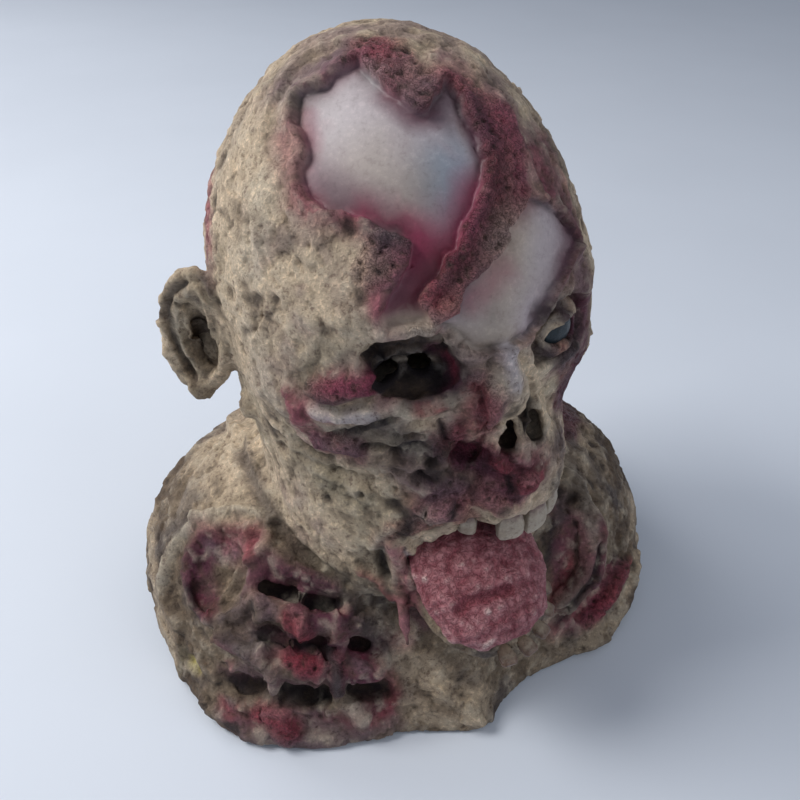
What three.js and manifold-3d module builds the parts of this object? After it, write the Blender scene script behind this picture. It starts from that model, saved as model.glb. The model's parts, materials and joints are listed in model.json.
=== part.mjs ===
// A full-head zombie mask with a shoulder bib, standing on its hem.
// Millimetres, +Z up. The face looks along -Y and +X is the wearer's left.
// The skin is one cast wall. The teeth, the tongue and the left eye are set into it.
import * as THREE from "three";
import { mergeVertices } from "three/addons/utils/BufferGeometryUtils.js";
import Module from "manifold-3d";

const wasm = await Module();
wasm.setup();

// Named sizes.
const wall = 3; // thickness of the cast skin
const seatClearance = 0.3; // gap round each piece that is set into the skin

const jawBaseHeight = 92; // the jaw's underside above the hem
const faceHeight = 168; // from the jaw's underside to the base of the cranial dome
const domeHeight = 140; // from there to the crown
const headBreadth = 212;
const headLength = 254;
const scalpThickness = 4.5; // torn scalp standing proud of the bare skull

const bibWidth = 382; // across the shoulders
const bibLength = 306; // from the chest to the back hem
const bibHeight = 138; // where the bib runs into the neck
const neckRadius = 62;
const neckSweep = 30; // how far the shoulders sweep up the neck behind
const neckSweepReach = 55; // and how far out that sweep starts
const hemArch = 26; // how far the hem rises over each shoulder

const socketWidth = 54;
const socketHeight = 42;
const socketDepth = 24;
const eyeDiameter = 30;
const lidThickness = 4;
const lidOpening = 15; // between the open lids
const peepWidth = 13;
const peepHeight = 8;
const nostrilWidth = 13;
const nostrilHeight = 24;
const nostrilDepth = 20;

const upperJawWidth = 94; // across the arch of the upper jaw
const upperJawDepth = 48; // from the arch's centre to its front
const upperJawHeight = 54;
const mouthHeight = 42;
const muscleThickness = 10; // the strands across the torn corner of the mouth
const incisorWidth = 17;
const incisorLength = 24;
const toothThickness = 10;

const lowerJawWidth = 84;
const lowerJawReach = 76; // how far the hanging jaw stands out of the neck
const lowerJawThickness = 24;
const lowerToothWidth = 11;
const lowerToothLength = 14;

const tongueWidth = 80;
const tongueReach = 70;
const tongueThickness = 32;
const tongueGap = 1.2; // between the tongue and the tips of the teeth above it

const earHeight = 90;
const earLength = 50;
const earThickness = 17;

// Small helpers.
const rad = (degrees) => (degrees * Math.PI) / 180;
const clamp = (value, low, high) => Math.min(high, Math.max(low, value));
const vec = (x, y, z) => new THREE.Vector3(x, y, z);

// A table is a list of rows. Its first column is the place, and the others are read smoothly.
function readTable(table, place, column) {
  const key = Object.keys(table[0])[0];
  const last = table.length - 1;
  if (place <= table[0][key]) return table[0][column];
  if (place >= table[last][key]) return table[last][column];
  let i = 0;
  while (table[i + 1][key] < place) i += 1;
  const before = table[Math.max(i - 1, 0)];
  const from = table[i];
  const to = table[i + 1];
  const after = table[Math.min(i + 2, last)];
  const span = to[key] - from[key];
  const t = (place - from[key]) / span;
  const slopeFrom = ((to[column] - before[column]) / (to[key] - before[key])) * span;
  const slopeTo = ((after[column] - from[column]) / (after[key] - from[key])) * span;
  const t2 = t * t;
  const t3 = t2 * t;
  return (
    (2 * t3 - 3 * t2 + 1) * from[column] +
    (t3 - 2 * t2 + t) * slopeFrom +
    (3 * t2 - 2 * t3) * to[column] +
    (t3 - t2) * slopeTo
  );
}

// Solids.
function solidOf(geometry) {
  geometry.deleteAttribute("normal");
  geometry.deleteAttribute("uv");
  const merged = mergeVertices(geometry, 1e-4);
  const body = new wasm.Manifold(
    new wasm.Mesh({
      numProp: 3,
      vertProperties: new Float32Array(merged.attributes.position.array),
      triVerts: new Uint32Array(merged.index.array),
    }),
  );
  return body.volume() < 0 ? solidOf(insideOut(merged)) : body;
}

function insideOut(geometry) {
  const turned = Array.from(geometry.index.array);
  for (let i = 0; i < turned.length; i += 3) {
    [turned[i], turned[i + 1]] = [turned[i + 1], turned[i]];
  }
  geometry.setIndex(turned);
  return geometry;
}

function geometryOf(body) {
  const mesh = body.getMesh();
  const positions = [];
  for (let i = 0; i < mesh.vertProperties.length; i += mesh.numProp) {
    positions.push(...mesh.vertProperties.slice(i, i + 3));
  }
  const geometry = new THREE.BufferGeometry();
  geometry.setAttribute("position", new THREE.Float32BufferAttribute(positions, 3));
  geometry.setIndex(Array.from(mesh.triVerts));
  return geometry;
}

// A closed body through rings of as many points each. The ends close to their middle points,
// or the last ring joins the first.
function ringBody(rings, looped = false) {
  const sides = rings[0].length;
  const points = rings.flat();
  const faces = [];
  const bands = looped ? rings.length : rings.length - 1;
  for (let r = 0; r < bands; r += 1) {
    const next = ((r + 1) % rings.length) * sides;
    for (let s = 0; s < sides; s += 1) {
      const turn = (s + 1) % sides;
      const a = r * sides + s;
      const b = r * sides + turn;
      faces.push(a, b, next + turn, a, next + turn, next + s);
    }
  }
  if (!looped) {
    const middle = (ring) => ring.reduce((sum, p) => sum.add(p), vec(0, 0, 0)).divideScalar(sides);
    const first = points.push(middle(rings[0])) - 1;
    const last = points.push(middle(rings[rings.length - 1])) - 1;
    const end = (rings.length - 1) * sides;
    for (let s = 0; s < sides; s += 1) {
      const turn = (s + 1) % sides;
      faces.push(first, turn, s, last, end + s, end + turn);
    }
  }
  const geometry = new THREE.BufferGeometry();
  const positions = points.flatMap((p) => p.toArray());
  geometry.setAttribute("position", new THREE.Float32BufferAttribute(positions, 3));
  geometry.setIndex(faces);
  return solidOf(geometry);
}

// An ellipsoid lying in a frame: wide across it, tall up it and deep out of it, as half sizes.
function blob(frame, wide, tall, deep, spin = 0, sides = 12) {
  const geometry = new THREE.SphereGeometry(1, sides, Math.round(sides * 0.6));
  geometry.scale(wide, deep, tall);
  geometry.rotateY(rad(spin));
  const basis = new THREE.Matrix4().makeBasis(
    frame.across,
    frame.outward.clone().negate(),
    frame.rise,
  );
  geometry.applyMatrix4(basis.setPosition(frame.point));
  return solidOf(geometry);
}

// A round or flattened tube along points, with a half width and a half height at each of its rows.
function tube(rows, sides = 8, flat = 1, looped = false, fine = 2) {
  const curve = new THREE.CatmullRomCurve3(rows.map((row) => row.at), looped);
  const steps = (looped ? rows.length : rows.length - 1) * fine;
  const frames = curve.computeFrenetFrames(steps, looped);
  const rings = [];
  const count = looped ? steps : steps + 1;
  for (let i = 0; i < count; i += 1) {
    const share = i / steps;
    const centre = curve.getPoint(share);
    const place = share * (looped ? rows.length : rows.length - 1);
    const low = Math.min(Math.floor(place), rows.length - 1);
    const high = looped ? (low + 1) % rows.length : Math.min(low + 1, rows.length - 1);
    const half = THREE.MathUtils.lerp(rows[low].half, rows[high].half, place - low);
    const ring = [];
    for (let s = 0; s < sides; s += 1) {
      const angle = (2 * Math.PI * s) / sides;
      const side = frames.normals[i].clone().multiplyScalar(half * Math.cos(angle));
      const lift = frames.binormals[i].clone().multiplyScalar(half * flat * Math.sin(angle));
      ring.push(centre.clone().add(side).add(lift));
    }
    rings.push(ring);
  }
  return ringBody(rings, looped);
}

// A body lofted along a spine. Each section is an upright ellipse that faces along the spine.
function lofted(rows, sides = 16) {
  const rings = rows.map((row, i) => {
    const before = rows[Math.max(i - 1, 0)].at;
    const after = rows[Math.min(i + 1, rows.length - 1)].at;
    const along = after.clone().sub(before).normalize();
    const across = vec(1, 0, 0);
    const lift = along.clone().cross(across).normalize();
    const ring = [];
    for (let s = 0; s < sides; s += 1) {
      const angle = (2 * Math.PI * s) / sides;
      const side = across.clone().multiplyScalar(row.wide * Math.cos(angle));
      ring.push(row.at.clone().add(side).add(lift.clone().multiplyScalar(row.thick * Math.sin(angle))));
    }
    return ring;
  });
  return ringBody(rings);
}

const joined = (bodies) => bodies.reduce((sum, body) => sum.add(body));

// Head: horizontal sections.
// up is a share of faceHeight, side of half the breadth, front and back of half the length,
// and lean, the section's shift to the wearer's left, of the breadth.
const headSections = [
  { up: -0.22, side: 0.5, front: 0.45, back: 0.44, lean: 0.02, square: 2 },
  { up: -0.08, side: 0.66, front: 0.6, back: 0.5, lean: 0.02, square: 2 },
  { up: 0.05, side: 0.84, front: 0.82, back: 0.55, lean: 0.02, square: 2 },
  { up: 0.18, side: 0.9, front: 0.84, back: 0.59, lean: 0.03, square: 2.1 },
  { up: 0.32, side: 0.91, front: 0.86, back: 0.64, lean: 0.04, square: 2.1 },
  { up: 0.46, side: 0.93, front: 0.88, back: 0.73, lean: 0.04, square: 2.1 },
  { up: 0.6, side: 0.96, front: 0.87, back: 0.86, lean: 0.035, square: 2.1 },
  { up: 0.76, side: 0.98, front: 0.84, back: 0.97, lean: 0.025, square: 2.1 },
  { up: 0.9, side: 1.0, front: 0.86, back: 1.01, lean: 0.015, square: 2.1 },
  { up: 1.0, side: 1.01, front: 0.9, back: 1.03, lean: 0.01, square: 2.1 },
  { up: 1.4, side: 1.0, front: 0.93, back: 0.99, lean: -0.01, square: 2.05 },
  { up: 1.85, side: 0.98, front: 0.93, back: 0.97, lean: -0.02, square: 2 },
];
const domeBase = jawBaseHeight + faceHeight;
const headUp = (height) => (height - jawBaseHeight) / faceHeight;
const headLean = (height) => readTable(headSections, headUp(height), "lean") * headBreadth;

// Soft forms of the face. turn and up place a row. wide, tall and lift are shares of the head's
// breadth, the first two as half sizes, and spin turns the row on the skin.
const headRelief = [
  { turn: -29, up: 1.24, wide: 0.17, tall: 0.045, lift: 0.035, spin: 8 }, // right brow
  { turn: 28, up: 1.2, wide: 0.15, tall: 0.05, lift: 0.045, spin: -8 }, // left brow
  { turn: 2, up: 1.14, wide: 0.06, tall: 0.05, lift: 0.02, spin: 0 }, // between the brows
  { turn: -64, up: 1.18, wide: 0.12, tall: 0.2, lift: -0.025, spin: 0 }, // right temple
  { turn: 66, up: 1.18, wide: 0.12, tall: 0.2, lift: -0.025, spin: 0 }, // left temple
  { turn: -50, up: 0.88, wide: 0.16, tall: 0.05, lift: 0.05, spin: 10 }, // right cheek bone
  { turn: 48, up: 0.87, wide: 0.15, tall: 0.06, lift: 0.035, spin: -10 }, // left cheek bone
  { turn: -40, up: 0.765, wide: 0.13, tall: 0.03, lift: 0.03, spin: -10 }, // torn cheek
  { turn: -25, up: 0.86, wide: 0.08, tall: 0.035, lift: 0.02, spin: -6 }, // rim of the socket
  { turn: -46, up: 0.6, wide: 0.16, tall: 0.09, lift: -0.03, spin: 0 }, // hollow of the cheek
  { turn: 42, up: 0.55, wide: 0.16, tall: 0.13, lift: -0.055, spin: 0 },
  { turn: -31, up: 0.42, wide: 0.06, tall: 0.1, lift: 0.025, spin: 10 }, // the mouth's torn corner
  { turn: -60, up: 0.3, wide: 0.16, tall: 0.09, lift: 0.03, spin: 0 }, // right corner of the jaw
  { turn: -44, up: 0.06, wide: 0.2, tall: 0.05, lift: 0.05, spin: 6 }, // the jaw's lower edge
  { turn: 60, up: 0.28, wide: 0.16, tall: 0.09, lift: 0.03, spin: 0 }, // left corner of the jaw
  { turn: 180, up: 0.4, wide: 0.3, tall: 0.12, lift: -0.03, spin: 0 }, // nape
  { turn: -180, up: 0.4, wide: 0.3, tall: 0.12, lift: -0.03, spin: 0 },
];
function relief(turn, up) {
  const degrees = (((turn * 180) / Math.PI + 540) % 360) - 180;
  let lift = 0;
  for (const row of headRelief) {
    const across = (rad(degrees - row.turn) * headBreadth) / 2;
    const rise = (up - row.up) * faceHeight;
    const cos = Math.cos(rad(row.spin));
    const sin = Math.sin(rad(row.spin));
    const wide = (across * cos + rise * sin) / (row.wide * headBreadth);
    const tall = (rise * cos - across * sin) / (row.tall * headBreadth);
    lift += row.lift * headBreadth * Math.exp(-(wide * wide) - tall * tall);
  }
  return lift;
}

// The distance of the head's surface from the section's own upright axis.
function headRadius(turn, height, inset = 0) {
  const up = headUp(height);
  const dome = clamp((height - domeBase) / (domeHeight - inset), 0, 1);
  const closing = Math.sqrt(1 - dome * dome);
  const facing = Math.cos(turn) > 0 ? "front" : "back";
  const side = (readTable(headSections, up, "side") * headBreadth) / 2 - inset;
  const depth = (readTable(headSections, up, facing) * headLength) / 2 - inset;
  const power = readTable(headSections, up, "square");
  const across = Math.abs(Math.sin(turn)) / side;
  const along = Math.abs(Math.cos(turn)) / depth;
  return closing * ((across ** power + along ** power) ** (-1 / power) + relief(turn, up));
}

function headPoint(turn, height, inset = 0) {
  const radius = headRadius(turn, height, inset);
  return vec(headLean(height) + radius * Math.sin(turn), -radius * Math.cos(turn), height);
}

// Directions round the head, closer together on the face than behind.
function turnsRound(faceCount, backCount) {
  const faceTurn = 75; // the face reaches this far round to each side
  const turns = [];
  for (let i = 0; i < faceCount; i += 1) {
    turns.push(rad(-faceTurn + (2 * faceTurn * i) / faceCount));
  }
  for (let i = 0; i < backCount; i += 1) {
    turns.push(rad(faceTurn + ((360 - 2 * faceTurn) * i) / backCount));
  }
  return turns;
}

// Heights of the sections, as shares of faceHeight, closer together on the face.
const fineRows = [
  -0.22, -0.08, 0.03, 0.12, 0.22, 0.32, 0.42, 0.5, 0.57, 0.63, 0.69, 0.735, 0.78, 0.825, 0.87, 0.92,
  0.98, 1.04, 1.1, 1.16, 1.21, 1.26, 1.34, 1.45, 1.56, 1.67, 1.755, 1.81,
];
const coarseRows = [-0.22, 0, 0.2, 0.4, 0.6, 0.8, 1, 1.2, 1.4, 1.55, 1.68, 1.76];

function headBody(turns, rows, inset) {
  const rings = rows.map((up) => {
    const height = jawBaseHeight + up * faceHeight;
    return turns.map((turn) => headPoint(turn, height, inset));
  });
  const crown = domeBase + domeHeight - inset;
  rings.push(turns.map(() => vec(headLean(crown), 0, crown)));
  return ringBody(rings);
}

// The surface point at a turn from the front and a share up the face, with the directions across,
// up and out of the skin there. out moves the point off the skin.
function frameAt(pointAt, turn, along, out, step) {
  const point = pointAt(turn, along);
  const across = pointAt(turn + 1, along).sub(pointAt(turn - 1, along)).normalize();
  const climb = pointAt(turn, along + step).sub(pointAt(turn, along - step));
  const outward = across.clone().cross(climb).normalize();
  const rise = outward.clone().cross(across).normalize();
  return { point: point.addScaledVector(outward, out), across, rise, outward };
}

const onHead = (turn, up, out = 0) => {
  const pointAt = (degrees, share) => headPoint(rad(degrees), jawBaseHeight + share * faceHeight);
  return frameAt(pointAt, turn, up, out, 0.01);
};

// Bib: rings from the neck out to the hem.
// turn is in degrees from the front, positive to the wearer's left. reach is a share of the bib's
// oval, lift of hemArch, and full is 1 on a round shoulder and 0 on a straight slope. sweep is a
// share of neckSweep.
const bibOutline = [
  { turn: -180, reach: 1.05, lift: -0.1, full: 0.75, sweep: 1 },
  { turn: -149, reach: 1.14, lift: 0.5, full: 0.85, sweep: 1 },
  { turn: -125, reach: 1.085, lift: 1, full: 0.95, sweep: 1 },
  { turn: -103, reach: 0.96, lift: 0.8, full: 0.95, sweep: 0.8 },
  { turn: -82, reach: 0.905, lift: -0.1, full: 0.85, sweep: 0.25 },
  { turn: -67, reach: 0.94, lift: -0.2, full: 0.7, sweep: 0 },
  { turn: -49, reach: 0.88, lift: -0.2, full: 0.5, sweep: 0 },
  { turn: -24, reach: 0.84, lift: -0.2, full: 0.3, sweep: 0 },
  { turn: 1, reach: 0.945, lift: -0.2, full: 0.1, sweep: 0 },
  { turn: 14, reach: 0.82, lift: -0.2, full: 0.2, sweep: 0 },
  { turn: 27, reach: 0.86, lift: -0.2, full: 0.35, sweep: 0 },
  { turn: 45, reach: 0.97, lift: -0.1, full: 0.6, sweep: 0 },
  { turn: 62, reach: 1.015, lift: 0.3, full: 0.8, sweep: 0 },
  { turn: 86, reach: 1.045, lift: 1, full: 0.95, sweep: 0.3 },
  { turn: 105, reach: 1.085, lift: 1, full: 0.95, sweep: 0.85 },
  { turn: 135, reach: 1.14, lift: 0.5, full: 0.9, sweep: 1 },
  { turn: 180, reach: 1.05, lift: -0.1, full: 0.75, sweep: 1 },
];
const belowHem = 8; // how far the hollow is carried on below the hem, so that it opens there

function bibPoint(turn, out, inset = 0) {
  const angle = rad(turn);
  const oval = Math.hypot(Math.sin(angle) / (bibWidth / 2), Math.cos(angle) / (bibLength / 2));
  const reach = readTable(bibOutline, turn, "reach") / oval - inset;
  const lift = readTable(bibOutline, turn, "lift") * hemArch;
  const full = readTable(bibOutline, turn, "full");
  const quarter = (Math.PI / 2) * out;
  const spread = (1 - full) * out + full * Math.sin(quarter);
  const fall = (1 - full) * out + full * (1 - Math.cos(quarter));
  const radius = neckRadius - inset + (reach - neckRadius + inset) * spread;
  const height = bibHeight - inset + (lift - bibHeight + inset) * fall;
  const near = Math.max(0, 1 - (radius - neckRadius + inset) / neckSweepReach);
  const sweep = readTable(bibOutline, turn, "sweep") * neckSweep * near * near;
  return vec(radius * Math.sin(angle), -radius * Math.cos(angle), height + sweep);
}

// Rings of the bib, as shares of the way from the neck to the hem, closer together at the neck.
const bibRings = [0, 0.06, 0.14, 0.24, 0.36, 0.5, 0.667, 0.833, 1];
const coarseBibRings = [0, 0.1, 0.24, 0.45, 0.72, 1];

function bibBody(sides, outs, inset, below) {
  const rings = outs.map((out) => {
    const ring = [];
    for (let s = 0; s < sides; s += 1) {
      ring.push(bibPoint(-180 + (360 * s) / sides, out, inset));
    }
    return ring;
  });
  if (below > 0) rings.push(rings[rings.length - 1].map((p) => vec(p.x, p.y, p.z - below)));
  return ringBody(rings);
}

// far is the share of the way from the neck to the hem, seen from above.
const onBib = (turn, far, out = 0) => {
  const distance = (p) => Math.hypot(p.x, p.y);
  const hem = distance(bibPoint(turn, 1));
  let low = 0;
  let high = 1;
  for (let i = 0; i < 24; i += 1) {
    const middle = (low + high) / 2;
    const share = (distance(bibPoint(turn, middle)) - neckRadius) / (hem - neckRadius);
    if (share < far) low = middle;
    else high = middle;
  }
  return frameAt((degrees, place) => bibPoint(degrees, 1 - place), turn, 1 - low, out, 0.01);
};

// Bare skull: windows torn in the scalp.
// Each outline is seen from the middle of the head, as turn from the front and rise above level.
const foreheadWindow = [
  { turn: -70, rise: 61 },
  { turn: -62, rise: 57.5 },
  { turn: -59, rise: 53 },
  { turn: -57, rise: 48 },
  { turn: -52, rise: 45 },
  { turn: -45.5, rise: 41 },
  { turn: -39, rise: 39.5 },
  { turn: -31, rise: 38 },
  { turn: -23, rise: 34.5 },
  { turn: -24, rise: 29 },
  { turn: -26, rise: 23 },
  { turn: -29, rise: 18 },
  { turn: -25, rise: 17 },
  { turn: -19, rise: 18.5 },
  { turn: -19, rise: 23 },
  { turn: -17, rise: 27 },
  { turn: -13.5, rise: 30.5 },
  { turn: -9, rise: 35.5 },
  { turn: -4, rise: 41 },
  { turn: -0.5, rise: 45.5 },
  { turn: 1, rise: 51.5 },
  { turn: 1, rise: 58 },
  { turn: 0, rise: 63 },
  { turn: -5, rise: 66 },
  { turn: -14, rise: 61 },
  { turn: -21, rise: 59.5 },
  { turn: -26, rise: 63 },
  { turn: -35, rise: 67.5 },
  { turn: -46, rise: 71 },
  { turn: -59, rise: 70 },
  { turn: -67, rise: 67 },
];
const browWindow = [
  { turn: -12.8, rise: 19 },
  { turn: -8, rise: 23.5 },
  { turn: -4, rise: 27 },
  { turn: 0.5, rise: 34 },
  { turn: 5.7, rise: 39 },
  { turn: 11.5, rise: 43 },
  { turn: 17.5, rise: 43.5 },
  { turn: 22, rise: 39.5 },
  { turn: 27, rise: 33 },
  { turn: 30, rise: 25.5 },
  { turn: 33, rise: 17 },
  { turn: 26, rise: 12 },
  { turn: 17, rise: 9 },
  { turn: 9, rise: 4 },
  { turn: 0.5, rise: 4 },
  { turn: -7, rise: 9 },
  { turn: -14, rise: 14 },
];

// A cone from the middle of the head that passes through an outline and out of the scalp.
function coneThrough(outline) {
  const eye = vec(headLean(domeBase), 0, domeBase);
  const ray = ({ turn, rise }) =>
    vec(
      Math.sin(rad(turn)) * Math.cos(rad(rise)),
      -Math.cos(rad(turn)) * Math.cos(rad(rise)),
      Math.sin(rad(rise)),
    );
  const near = headBreadth * 0.2;
  const far = headLength * 0.75;
  const points = [near, far].flatMap((reach) =>
    outline.map((row) => eye.clone().addScaledVector(ray(row), reach)),
  );
  const count = outline.length;
  const flat = outline.map((row) => new THREE.Vector2(row.turn, row.rise));
  const faces = [];
  for (const [a, b, c] of THREE.ShapeUtils.triangulateShape(flat, [])) {
    faces.push(a, c, b, count + a, count + b, count + c);
  }
  const clockwise = THREE.ShapeUtils.isClockWise(flat);
  for (let i = 0; i < count; i += 1) {
    const next = (i + 1) % count;
    const [p, q] = clockwise ? [next, i] : [i, next];
    faces.push(p, q, count + q, p, count + q, count + p);
  }
  const geometry = new THREE.BufferGeometry();
  const positions = points.flatMap((p) => p.toArray());
  geometry.setAttribute("position", new THREE.Float32BufferAttribute(positions, 3));
  geometry.setIndex(faces);
  return solidOf(geometry);
}

// Lumps and dents.
// turn and up place a row on the head. out, wide, tall and deep are shares of the head's breadth,
// the last three as half sizes, and spin turns the row on the skin.
const headLumps = [
  { turn: -5, up: 0.86, out: -0.005, wide: 0.03, tall: 0.085, deep: 0.03, spin: 16 }, // nose flap
  { turn: -14, up: 0.5, out: -0.01, wide: 0.06, tall: 0.045, deep: 0.045, spin: 0 }, // gum
  { turn: 3, up: 0.5, out: 0.025, wide: 0.05, tall: 0.045, deep: 0.04, spin: 0 },
  { turn: 16, up: 0.57, out: 0.03, wide: 0.035, tall: 0.035, deep: 0.035, spin: 0 },
];
const headDents = [
  { turn: -9, up: 0.7, out: 0.02, wide: 0.045, tall: 0.07, deep: 0.06, spin: 24 }, // beside the nose
  { turn: -20, up: 0.7, out: 0.01, wide: 0.055, tall: 0.018, deep: 0.035, spin: 10 },
  { turn: -69, up: 0.59, out: 0.01, wide: 0.03, tall: 0.035, deep: 0.035, spin: 0 },
  { turn: -36, up: 0.55, out: 0.01, wide: 0.02, tall: 0.018, deep: 0.03, spin: 0 },
  { turn: -24, up: 0.23, out: 0.01, wide: 0.055, tall: 0.12, deep: 0.1, spin: 8 }, // mouth's corner
];
// A dent grown by the wall keeps the hollow off it. It is drawn coarse, so it is made larger by
// what its flats cut off.
const cover = 1.15;
const drawn = (size, grow) => (grow > 0 ? size * cover + grow : size);
const sidesFor = (sides, grow) => (grow > 0 ? 6 : sides);
const headRow = (row, grow = 0) => {
  const size = (share) => drawn(share * headBreadth, grow);
  const frame = onHead(row.turn, row.up, row.out * headBreadth);
  const sides = sidesFor(8, grow);
  return blob(frame, size(row.wide), size(row.tall), size(row.deep), row.spin, sides);
};

// Eye sockets.
const sockets = [
  { turn: -21.4, up: 1.08 }, // right
  { turn: 24, up: 1.05 }, // left
];
const [, leftSocket] = sockets;
const socket = (row, grow = 0) =>
  blob(
    onHead(row.turn, row.up),
    drawn(socketWidth / 2, grow),
    drawn(socketHeight / 2, grow),
    drawn(socketDepth, grow),
    0,
    sidesFor(12, grow),
  );
const eyeFrame = onHead(leftSocket.turn, leftSocket.up, -eyeDiameter * 0.52);
const eye = (grow = 0) => {
  const half = eyeDiameter / 2 + grow;
  return blob(eyeFrame, half, half, half, 0, 12);
};
// The lids are a shell round the eyeball, with an almond-shaped opening in front.
const lidHalf = eyeDiameter / 2 + lidThickness;
const lids = blob(eyeFrame, lidHalf, lidHalf, lidHalf, 0, 10).subtract(
  blob(
    onHead(leftSocket.turn, leftSocket.up, -eyeDiameter * 0.1),
    eyeDiameter * 0.5,
    lidOpening / 2,
    eyeDiameter / 2,
    -6,
    8,
  ),
);
// The wearer looks out through two slits in the floor of the right socket.
const peeps = [-29, -19].map((turn) =>
  blob(onHead(turn, 1.005, -socketDepth * 0.7), peepWidth / 2, peepHeight / 2, socketDepth, 0, 8),
);
const driedFlesh = blob(
  onHead(-22.5, 1.12, -socketDepth * 0.75),
  socketWidth * 0.36,
  socketHeight * 0.26,
  socketDepth * 0.4,
  -12,
  8,
);

// Nose: a bare bone bridge over two open nostrils.
const noseBridge = tube(
  [
    { at: onHead(1, 1.2, -headBreadth * 0.05).point, half: headBreadth * 0.035 },
    { at: onHead(1.5, 1.06, -headBreadth * 0.025).point, half: headBreadth * 0.052 },
    { at: onHead(2.5, 0.95, -headBreadth * 0.01).point, half: headBreadth * 0.068 },
    { at: onHead(4.5, 0.87, 0).point, half: headBreadth * 0.066 },
    { at: onHead(6, 0.81, -headBreadth * 0.02).point, half: headBreadth * 0.045 },
  ],
  8,
  0.8,
  false,
  1,
);
const noseBase = blob(
  onHead(8.5, 0.72, -nostrilWidth * 0.15),
  nostrilWidth * 1.9,
  nostrilHeight,
  nostrilWidth,
  0,
  10,
);
const nostril = (turn, grow = 0) =>
  blob(
    onHead(turn, 0.74, nostrilDepth * 0.3),
    drawn(nostrilWidth / 2, grow),
    drawn(nostrilHeight / 2, grow),
    drawn(nostrilDepth, grow),
    8,
    sidesFor(8, grow),
  );
const nostrilTurns = [3.8, 12.4];

// Upper jaw: an arch that stands out over the mouth.
const jawCentre = () => vec(headBreadth * 0.105, -headLength * 0.295, 0);
const jawSections = [
  { up: 0, size: 0.9 },
  { up: 0.2, size: 1 },
  { up: 0.5, size: 0.98 },
  { up: 0.8, size: 0.88 },
  { up: 1, size: 0.72 },
];
const jawFloor = jawBaseHeight + faceHeight * 0.4;
function upperJaw(inset = 0) {
  const rings = jawSections.map(({ up, size }) => {
    const ring = [];
    for (let s = 0; s < 20; s += 1) {
      const angle = (2 * Math.PI * s) / 20;
      const wide = (upperJawWidth / 2) * size - inset;
      const deep = upperJawDepth * size - inset;
      const height = jawFloor + up * upperJawHeight + inset * (1 - 2 * up);
      ring.push(jawCentre().add(vec(wide * Math.sin(angle), -deep * Math.cos(angle), height)));
    }
    return ring;
  });
  return ringBody(rings);
}

// The mouth is a hollow under the arch.
const mouth = (grow = 0) =>
  blob(
    {
      point: jawCentre().add(vec(-headBreadth * 0.03, -upperJawDepth * 0.55, jawFloor - mouthHeight * 0.48)),
      across: vec(1, 0, 0),
      rise: vec(0, 0, 1),
      outward: vec(0, -1, 0),
    },
    drawn(upperJawWidth * 0.5, grow),
    drawn(mouthHeight / 2, grow),
    drawn(upperJawDepth * 0.85, grow),
    0,
    sidesFor(12, grow),
  );

// Teeth stand on the arch. turn is from the arch's own front, wide and long are shares of the
// incisor's size, and drop is how far the tip hangs below the arch as a share of its length.
const upperTeeth = [
  { name: "upper_canine_right", turn: -42, wide: 0.68, long: 0.75, drop: 0.5 },
  { name: "upper_incisor_right", turn: -8, wide: 1, long: 1, drop: 0.52 },
  { name: "upper_incisor_left", turn: 16, wide: 1.05, long: 1.05, drop: 0.55 },
  { name: "upper_side_incisor_left", turn: 38, wide: 0.8, long: 0.95, drop: 0.5 },
  { name: "upper_canine_left", turn: 60, wide: 0.8, long: 0.9, drop: 0.5 },
];
// A tooth as shares of its width and thickness, from the root to the biting edge.
const toothSections = [
  { along: 0, wide: 0.5, thick: 0.5 },
  { along: 0.3, wide: 0.8, thick: 0.9 },
  { along: 0.6, wide: 1, thick: 1 },
  { along: 0.88, wide: 0.98, thick: 0.7 },
  { along: 1, wide: 0.75, thick: 0.4 },
];
function toothBody(root, down, across, wide, thick, long, grow) {
  const through = across.clone().cross(down).normalize();
  const rings = toothSections.map((row) => {
    const centre = root.clone().addScaledVector(down, row.along * long + grow * (2 * row.along - 1));
    const ring = [];
    for (let s = 0; s < 8; s += 1) {
      const angle = (2 * Math.PI * (s + 0.5)) / 8;
      const power = 0.75; // a rounded block rather than an oval
      const c = Math.sign(Math.cos(angle)) * Math.abs(Math.cos(angle)) ** power;
      const d = Math.sign(Math.sin(angle)) * Math.abs(Math.sin(angle)) ** power;
      ring.push(
        centre
          .clone()
          .addScaledVector(across, c * ((wide * row.wide) / 2 + grow))
          .addScaledVector(through, d * ((thick * row.thick) / 2 + grow)),
      );
    }
    return ring;
  });
  return ringBody(rings);
}
function upperTooth(row, grow = 0) {
  const angle = rad(row.turn);
  const long = incisorLength * row.long;
  const wide = (upperJawWidth / 2) * 0.93 - toothThickness * 0.35;
  const deep = upperJawDepth * 0.93 - toothThickness * 0.35;
  const top = jawFloor + long * (1 - row.drop);
  const root = jawCentre().add(vec(wide * Math.sin(angle), -deep * Math.cos(angle), top));
  const across = vec(Math.cos(angle), Math.sin(angle), 0);
  const down = vec(Math.sin(angle) * 0.1, -Math.cos(angle) * 0.1, -1).normalize();
  return toothBody(root, down, across, incisorWidth * row.wide, toothThickness, long, grow);
}

// Lower jaw and tongue, hanging out over the chest.
// The jaw hangs so low that the tongue on it clears the shortest of the teeth above.
const tongueTop = lowerJawThickness / 2 + tongueThickness * 1.09;
const jawDrop = incisorLength * 0.375 + tongueGap + tongueTop;
const jawRoot = vec(headBreadth * 0.01, -headLength * 0.28, jawFloor - jawDrop);
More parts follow.
